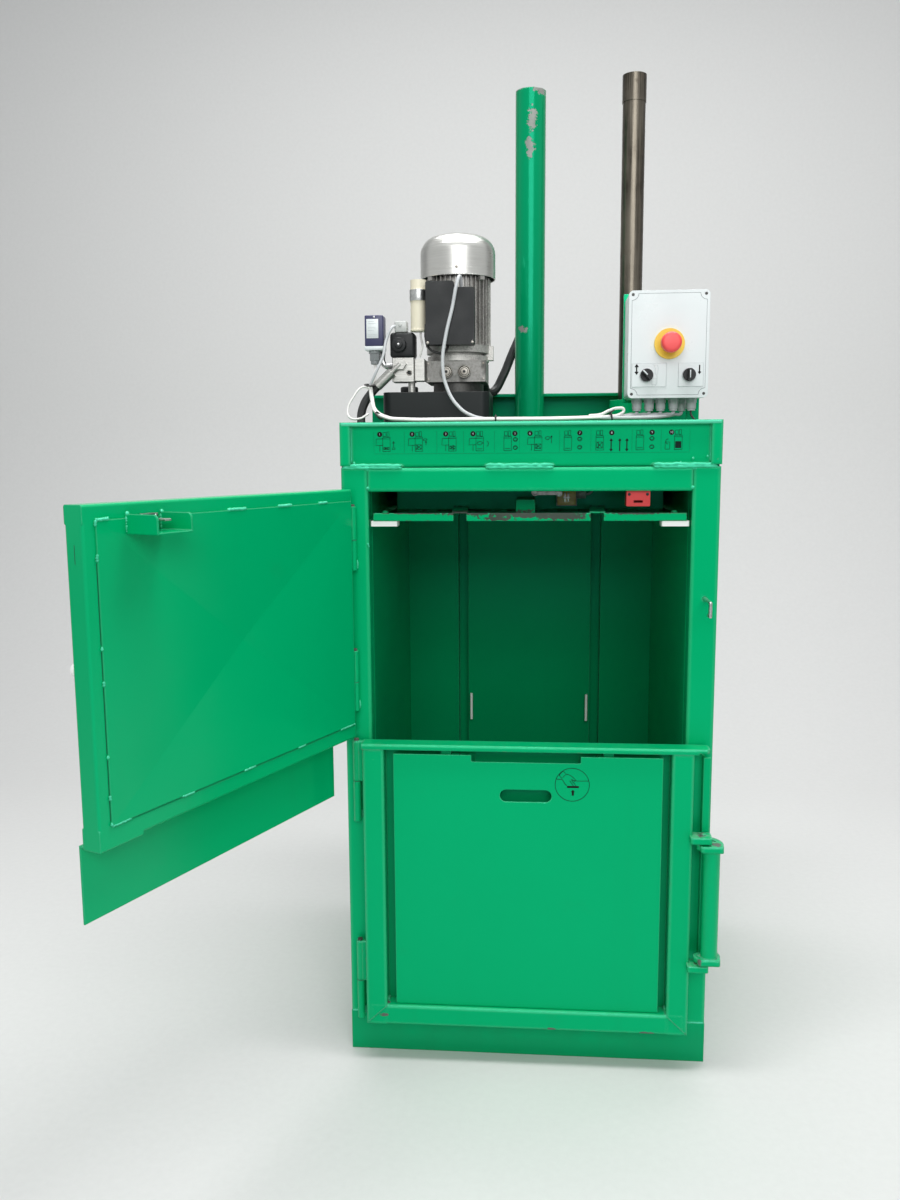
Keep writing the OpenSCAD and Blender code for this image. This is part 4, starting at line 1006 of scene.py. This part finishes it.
# %% Ten steps of use
STEPS = [
    (-293, True, 4, arrow(-272, Z - 26, Z - 14, 4) + [box_line(-275, Z - 30, 6, 3)]),
    (-227, True, 9, hand(-211, Z - 10, 0.6) + arrow(-206, Z - 22, Z - 14)),
    (-159, True, 6, arrow(-151, Z - 33, Z - 22)),
    (-104, True, 0, hand(-102, Z - 17, 0.9) + [arc(-86, Z - 20, 6, 60, -60)]),
    (-48, False, 0, two_knobs(-26)),
    (13, True, 9, hand(34, Z - 8, 0.8) + arrow(46, Z - 20, Z - 5)),
    (72, False, 0, two_knobs(102)),
    (135, False, 12, []),
    (214, False, 0, two_knobs(244)),
    (289, False, 12, [arc(276, Z - 18, 5, 90, 270), box_line(270, Z - 33, 9, 14)]),
]
drawings = [line for step in STEPS for line in press_icon(*step)]
print(len(drawings), "lines in", len(STEPS), "drawings")

# %% Rules and thick arrows
RULES = (-312, -250, -184, -130, -68, -18, 62, 124, 205, 262, 318)
frames = [[(x, Z + 6), (x, Z - 37)] for x in RULES] + [[(x, Z - 39) for x in (RULES[0], RULES[-1])]]
finish(strokes(frames, 0.35, 7.9), "use_frames", ink)
finish(strokes(drawings, 1.05, 7.8), "use_drawings", ink)
thick = [line for x in (164, 181, 195) for line in arrow(x, Z - 36, Z - 12, 4, x != 181)]
thick += [[(x, Z - 30 + k * 2.2) for x in (290, 301)] for k in range(6)]
finish(strokes(thick, 2.2, 7.8), "use_arrows", ink)

# %% Numbers in their dots
DOTS = [-300, -234, -166, -111, -27, 3, 102, 165, 244, 282]
dots, digits = [], []
for number, x in enumerate(DOTS, 1):
    dots.append(drum((x, 7.6, Z), "y", 0.4, 5.2, sides=28))
    clear()
    bpy.ops.object.text_add(location=at(x, 7.5, Z), rotation=(math.pi / 2, 0, 0))
    text = bpy.context.object
    text.data.body = str(number)
    text.data.size = 6.2 * MM
    text.data.align_x = text.data.align_y = "CENTER"
    text.data.extrude = 0.1 * MM
    only(text)
    bpy.ops.object.convert(target="MESH")
    digits.append(settle(bpy.context.object))
finish(dots, "number_dots", dot_ink)
finish(digits, "numbers", box_plastic)

# %% Hand sign on the lift panel
SIGN_X, SIGN_Z, SIGN_R = 93, 621, 34.8
cuff = [(66.3, 641), (74.4, 649.8), (80.6, 642.9), (71.3, 634.1), (66.3, 641)]
back_of_hand = [(80.6, 642.9), (85.6, 642.3), (90.6, 639.8), (96.3, 634.8), (101.3, 629.1),
                (127, 629.6)]
palm = [(60, 632.3), (72.3, 631.8), (75, 628.4), (78, 622.6), (82.2, 618.8)]
fingers = [[(101.3, 629.1), (94.4, 630.4), (91.3, 632.8)], [(91.3, 631), (95.6, 625.4), (100.5, 619)],
           [(88, 629.5), (91.5, 624), (95.5, 618.6)], [(98.5, 630), (97.5, 627)]]
sign = [arc(SIGN_X, SIGN_Z, SIGN_R, 0, 360, 64), cuff, back_of_hand, palm] + fingers
finish(strokes(sign, 1.2, -35.2), "hand_sign", ink, "panel")
ARROW_X, ARROW_Z, BAR_Z = 94.4, 598, 616.4
block_arrow = [[(x, BAR_Z + k) for x in (82.5, 106.5)] for k in (-1.1, 0, 1.1)]
block_arrow += [[(ARROW_X + k, ARROW_Z + h) for h in (0, 9)] for k in (-1.2, 0, 1.2)]
for w, h in ((3.4, 8), (2.2, 9.6), (1, 11)):
    block_arrow.append([(ARROW_X - w, ARROW_Z + h), (ARROW_X + w, ARROW_Z + h)])
finish(strokes(block_arrow, 2.0, -35.1), "hand_sign_arrow", dot_ink, "panel")

# %% [markdown]
# ## Control box
# The lid has a fine groove round its face, which bends in round the four screws. The mushroom button
# is a drum with a well rounded rim, and each knob sits on a pale ring and has a white pointer.

# %% Control box face
X0, X1, Z0, Z1, CORNER = 204, 351, 1408, 1606, 13
groove = []
for x, z, a in ((X0, Z0, 90), (X1, Z0, 180), (X1, Z1, 270), (X0, Z1, 0)):
    groove += arc(x, z, CORNER, a, a - 90, 10)
groove.append(groove[0])
# The groove is a thin dark grey line: painted shade in the groove.
groove_shade_grey = plastic("groove_shade_grey", (0.20, 0.24, 0.24), 0.5, marks=0.0, dust=0.0)
faint_grey = plastic("faint_grey", (0.50, 0.55, 0.55), 0.5, marks=0.0, dust=0.0)
finish(strokes([groove], 0.9, 50.0), "lid_groove", groove_shade_grey)
faint = [box_line(206, 1424, 68, 46), box_line(298, 1424, 49, 46),
         [(250, 1466), (252, 1461), (252, 1450), (256, 1446), (256, 1430), (252, 1426)],
         [(247, 1468), (250, 1466), (256, 1467), (258, 1462), (257, 1448)], box_line(246, 1428, 8, 12)]
finish(strokes(faint, 0.5, 48.95), "label_outlines", faint_grey)
signs = arrow(215.3, 1449, 1468, 5, True) + [[(339.3, 1466), (339.3, 1449)],
                                             [(337, 1453), (339.3, 1449), (341.6, 1453)]]
finish(strokes(signs, 2.6, 48.9), "label_arrows", dot_ink)
heads = [drum((x, 50.6, z), "y", 2.0, 2.7, 0.4, 20) for x in (206, 349) for z in (1410, 1604)]
finish(heads, "lid_screws", bolt_steel)

# %% Mushroom button, knob rings and pointers
def turn_mesh(piece, centre, degrees, axis):
    """Turns the mesh of a piece about an axis through a point."""
    turn = Matrix.Rotation(math.radians(degrees), 4, axis)
    piece.data.transform(Matrix.Translation(centre) @ turn @ Matrix.Translation(-centre))
    return piece


cap = drum((279, 9, 1508), "y", 19, 20, 0, 64)
face = at(0, 9, 0).y
soften(cap, 6.0, 6, lambda a, b: abs(a.y - face) < 1e-5 and abs(b.y - a.y) < TINY)
stem = drum((279, 26, 1508), "y", 38, 11, 0, 40)
mushroom = finish([cap, stem], "stop_mushroom", bright_red, "stop_button", 40)
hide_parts("estop_button")
collars = [drum((x, 47.6, 1447), "y", 1.4, 14.2, 0.5, 48) for x in (235, 319)]
finish(collars, "knob_rings", cable_grey)
pointer = block((233.7, 28.2, 1446.5), (236.3, 29.6, 1458.6), 0.3)
turn_mesh(pointer, at(235, 29, 1447), -45, "Y")
finish(pointer, "left_pointer", box_plastic, "left_knob")
pointer = block((318.1, 28.2, 1440), (319.9, 29.6, 1455), 0.3)
finish(pointer, "right_pointer", box_plastic, "right_knob")

# %% [markdown]
# ## Power pack
# The blocks of the pack are solid enough in the drawing. What they lack is what a fitter would see:
# port plugs with their hexagon sockets, the clamp and label, the lid screws and the fan cover rim.

# %% Port plugs, fitting rings and screws
plugs, sockets = [], []
for x in (-174, -136):
    plugs.append(drum((x, 121.2, 1465), "y", 2.4, 10.6, 0.8))
    plugs.append(ring((x, 121.4, 1465), "y", 12.4, 0.9))
    # The hexagon holes, and the round hole of the small plug, are thin black discs: painted shade in
    # the hollows.
    sockets.append(drum((x, 120.7, 1465), "y", 0.9, 3.2, sides=6))
    sockets.append(ring((x, 121.3, 1465), "y", 7.6, 0.6))
    sockets.append(ring((x, 122.2, 1465), "y", 11.2, 0.6))
plugs.append(ring((-250, 103.6, 1462), "y", 5.0, 1.0))
sockets.append(drum((-250, 103.2, 1462), "y", 1.2, 3.2, sides=20))
plugs += [drum((x, 76.4, 1520), "y", 2.2, 3.0, 0.7, 20) for x in (-208, -116)]
plugs.append(drum((-150, 108.9, 1676), "y", 2.0, 3.2, 0.6, 20))
plugs += [drum((x, 127.2, z), "y", 1.6, 2.6, 0.5, 6) for x in (-212, -96) for z in (1450, 1482)]
finish(plugs, "port_plugs_and_screws", bare_steel)
finish(sockets, "sockets", black_plastic)

# %% Fan cover rim and grille
FAN_X, FAN_Y, SLOTS = -153, 190, 20
rim = ring((FAN_X, FAN_Y, 1662.2), "z", 79.0, 1.3, 72)
seam = ring((FAN_X, FAN_Y, 1675), "z", 79.7, 0.5, 72)
finish([rim, seam], "fan_cover_rim", spun)
# Each slot is a thin dark block of painted shadow where the cover is open.
slots = []
for k in range(SLOTS):
    slot = block((FAN_X - 1.4, FAN_Y - 29, 1749.4), (FAN_X + 1.4, FAN_Y - 12, 1750.2), 0.3)
    slots.append(turn_mesh(slot, at(FAN_X, FAN_Y, 0), 360 / SLOTS * k, "Z"))
finish(slots, "fan_grille", painted_gap_shadow)

# %% Capacitor clamp
band = drum((-230, 112, 1607.5), "z", 23, 18.3, 0.8, 48)
lug = block((-214, 104.5, 1610), (-209.5, 119.5, 1628), 0.8)
finish([band, lug], "capacitor_clamp", zinc_steel)
base_cap = drum((-230, 112, 1546.4), "z", 5, 17.2, 1.0, 48)
finish(base_cap, "capacitor_base", cream_plastic)

# %% Pressure switch
body = block((-342, 98, 1517), (-303, 138, 1580), 2.5, 3)
finish(body, "pressure_switch_body", blue_plastic)
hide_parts("pressure_switch")
collar = block((-343, 97.2, 1509), (-302.4, 138.5, 1517), 1.2)
label = block((-338, 97.4, 1533), (-313, 98.2, 1572), 0.2)
finish([collar, label], "pressure_switch_label", box_plastic)
ROWS = ((1567, 14), (1563, 18), (1554, 17), (1549, 12), (1540, 19), (1537, 19))
rows = [[(-335, z), (-335 + long, z)] for z, long in ROWS]
finish(strokes(rows, 0.5, 97.35), "pressure_switch_rows", faint_grey)
nut = drum((-324, 116, 1488), "z", 21, 11.2, 1.5, 6)
tail = drum((-324, 116, 1481), "z", 8, 8.5, 1.5, 24)
cap_nut = drum((-324, 116, 1503), "z", 6, 12.5, 1.0, 32)
finish([nut, tail, cap_nut], "pressure_switch_gland", grey_plastic)
pipe = cable([(-287, 132, 1479), (-303, 132, 1479), (-309, 132, 1486), (-309, 132, 1509)], 6)
finish(pipe, "pressure_switch_pipe", zinc_steel)
screw = drum((-322, 97.0, 1576), "y", 1.4, 2.0, 0.4, 16)
finish(screw, "pressure_switch_screw", zinc_steel)

# %% Coil
coil = block((-290, 102, 1493), (-238, 150, 1545), 7, 4)
boss = drum((-270, 91, 1519), "y", 14, 15, 2.0, 40)
knob = drum((-270, 86.4, 1519), "y", 6, 8.2, 1.4, 40)
coil = finish([coil, boss, knob], "coil_body", black_plastic)
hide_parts("solenoid_coil")
finish(drum((-270, 85.9, 1519), "y", 1.0, 2.4, 0.3, 20), "coil_pin", zinc_steel)
clear_plastic = plastic("pale_plug", (0.50, 0.52, 0.50), 0.25, marks=0.2)
plug = block((-280, 104, 1545), (-254, 132, 1568), 2.5, 3)
screw = drum((-268, 102.6, 1560), "y", 2.0, 3.6, 0.6, 20)
finish([plug, screw], "coil_plug", clear_plastic)

# %% Oil tank breather
breather = drum((-270, 270, 1421), "z", 9, 15, 1.5, 32)
top = drum((-270, 270, 1430), "z", 14, 20, 4.0, 32)
finish([breather, top], "tank_breather", black_plastic)

# %% [markdown]
# ## Switches under the top tube
# The limit switch has an amber window with its contacts behind it, and the coded switch has two
# screws. Both hang in the shade, so small bright parts matter more than exact shapes.

# %% Limit switch and coded switch
window = block((62.5, 174.4, 1182), (102.5, 176.4, 1216), 1.6)
finish(window, "limit_switch_window", window_plastic)
works = [block((x, 174.0, 1189), (x + 4, 175.4, 1209), 0.4) for x in (77, 84)]
works.append(block((75, 173.6, 1196), (90, 174.6, 1200), 0.3))
finish(works, "limit_switch_works", zinc_steel)
gland = [drum((105, 193, 1205), "x", 9, 11, 1.0, 6), drum((114, 193, 1205), "x", 11, 9.5, 1.5, 24)]
finish(gland, "limit_switch_gland", cable_grey)
lever = [drum((66, 166.2, 1208), "y", 3, 7.5, 0.6, 24), drum((40, 167, 1208), "y", 3, 3.2, 0.6, 16),
         ring((14, 163, 1210), "y", 5.2, 1.4, 24)]
finish(lever, "lever_screws", zinc_steel, "switch_lever")
screws = [drum((x, 11.2, 1211), "y", 2.6, 3.0, 0.5, 20) for x in (202, 238)]
finish(screws, "coded_switch_screws", black_plastic)

# %% [markdown]
# ## Studio
# The floor runs up behind the machine in one soft curve, so no horizon shows. A large lamp in front
# gives the main light, two long strips overhead light what faces up, and the world lifts the shadows.
# Rays from the camera and from mirrors see a paler world than the one that lights the machine.

# %% Floor
FLOOR_SIZE, FLOOR_BACK, WALL_HEIGHT, CURVE_RADIUS = 26, 3, 7, 1.6
clear()
bpy.ops.mesh.primitive_plane_add(size=FLOOR_SIZE, location=(0, FLOOR_BACK - FLOOR_SIZE / 2, 0))
floor = settle(bpy.context.object)
edit(floor, edges=lambda a, b: min(a.y, b.y) > FLOOR_BACK - TINY)
bpy.ops.mesh.extrude_region_move(TRANSFORM_OT_translate={"value": (0, 0, WALL_HEIGHT)})
leave()
soften(floor, CURVE_RADIUS / MM, 24,
       lambda a, b: min(a.y, b.y) > FLOOR_BACK - TINY and a.z + b.z < TINY)
floor.name = "studio_floor"
pale, shader, place = surface("pale_floor")
speckle = noise(place, 60.0, 6.0, 0.6)
floor_colour = mix(speckle, rgb(0.66, 0.66, 0.65), rgb(0.72, 0.72, 0.71))
feed(shader, {"Base Color": floor_colour, "Roughness": 0.85})
floor.data.materials.append(pale)
only(floor)
bpy.ops.object.shade_smooth_by_angle(angle=math.radians(40))
print("floor", FLOOR_SIZE, "m wide")

# %% Lamps
def lamp(name, place, aim, size, power):
    """An area lamp at a place, turned towards a point."""
    bpy.ops.object.light_add(type="AREA", location=place)
    made = bpy.context.object
    made.name = name
    made.data.shape = "RECTANGLE"
    made.data.size, made.data.size_y = size
    made.data.energy = power
    made.rotation_euler = (Vector(aim) - Vector(place)).to_track_quat("-Z", "Y").to_euler()


lamp("key", (0.5, -4.6, 3.0), (0, -0.2, 0.9), (3.0, 2.0), 102)
lamp("front_strip", (0.1, -0.9, 4.3), (0, -0.2, 1.0), (3.4, 0.7), 112)
lamp("rear_strip", (0.1, 0.7, 4.3), (0, 0.1, 1.0), (3.4, 0.7), 54)

# %% World
world = bpy.data.worlds.new("studio")
bpy.context.scene.world = world
world.use_nodes = True
tree = world.node_tree
rays = add("LightPath").outputs
seen = larger(rays["Is Camera Ray"], larger(rays["Is Glossy Ray"], rays["Is Transmission Ray"]))
sky = mix(seen, rgb(0.335, 0.345, 0.36), rgb(0.70, 0.71, 0.71))
feed(tree.nodes["Background"], {"Color": sky, "Strength": 1.0})
bpy.context.scene.view_settings.view_transform = "Standard"
print("world", world.name)
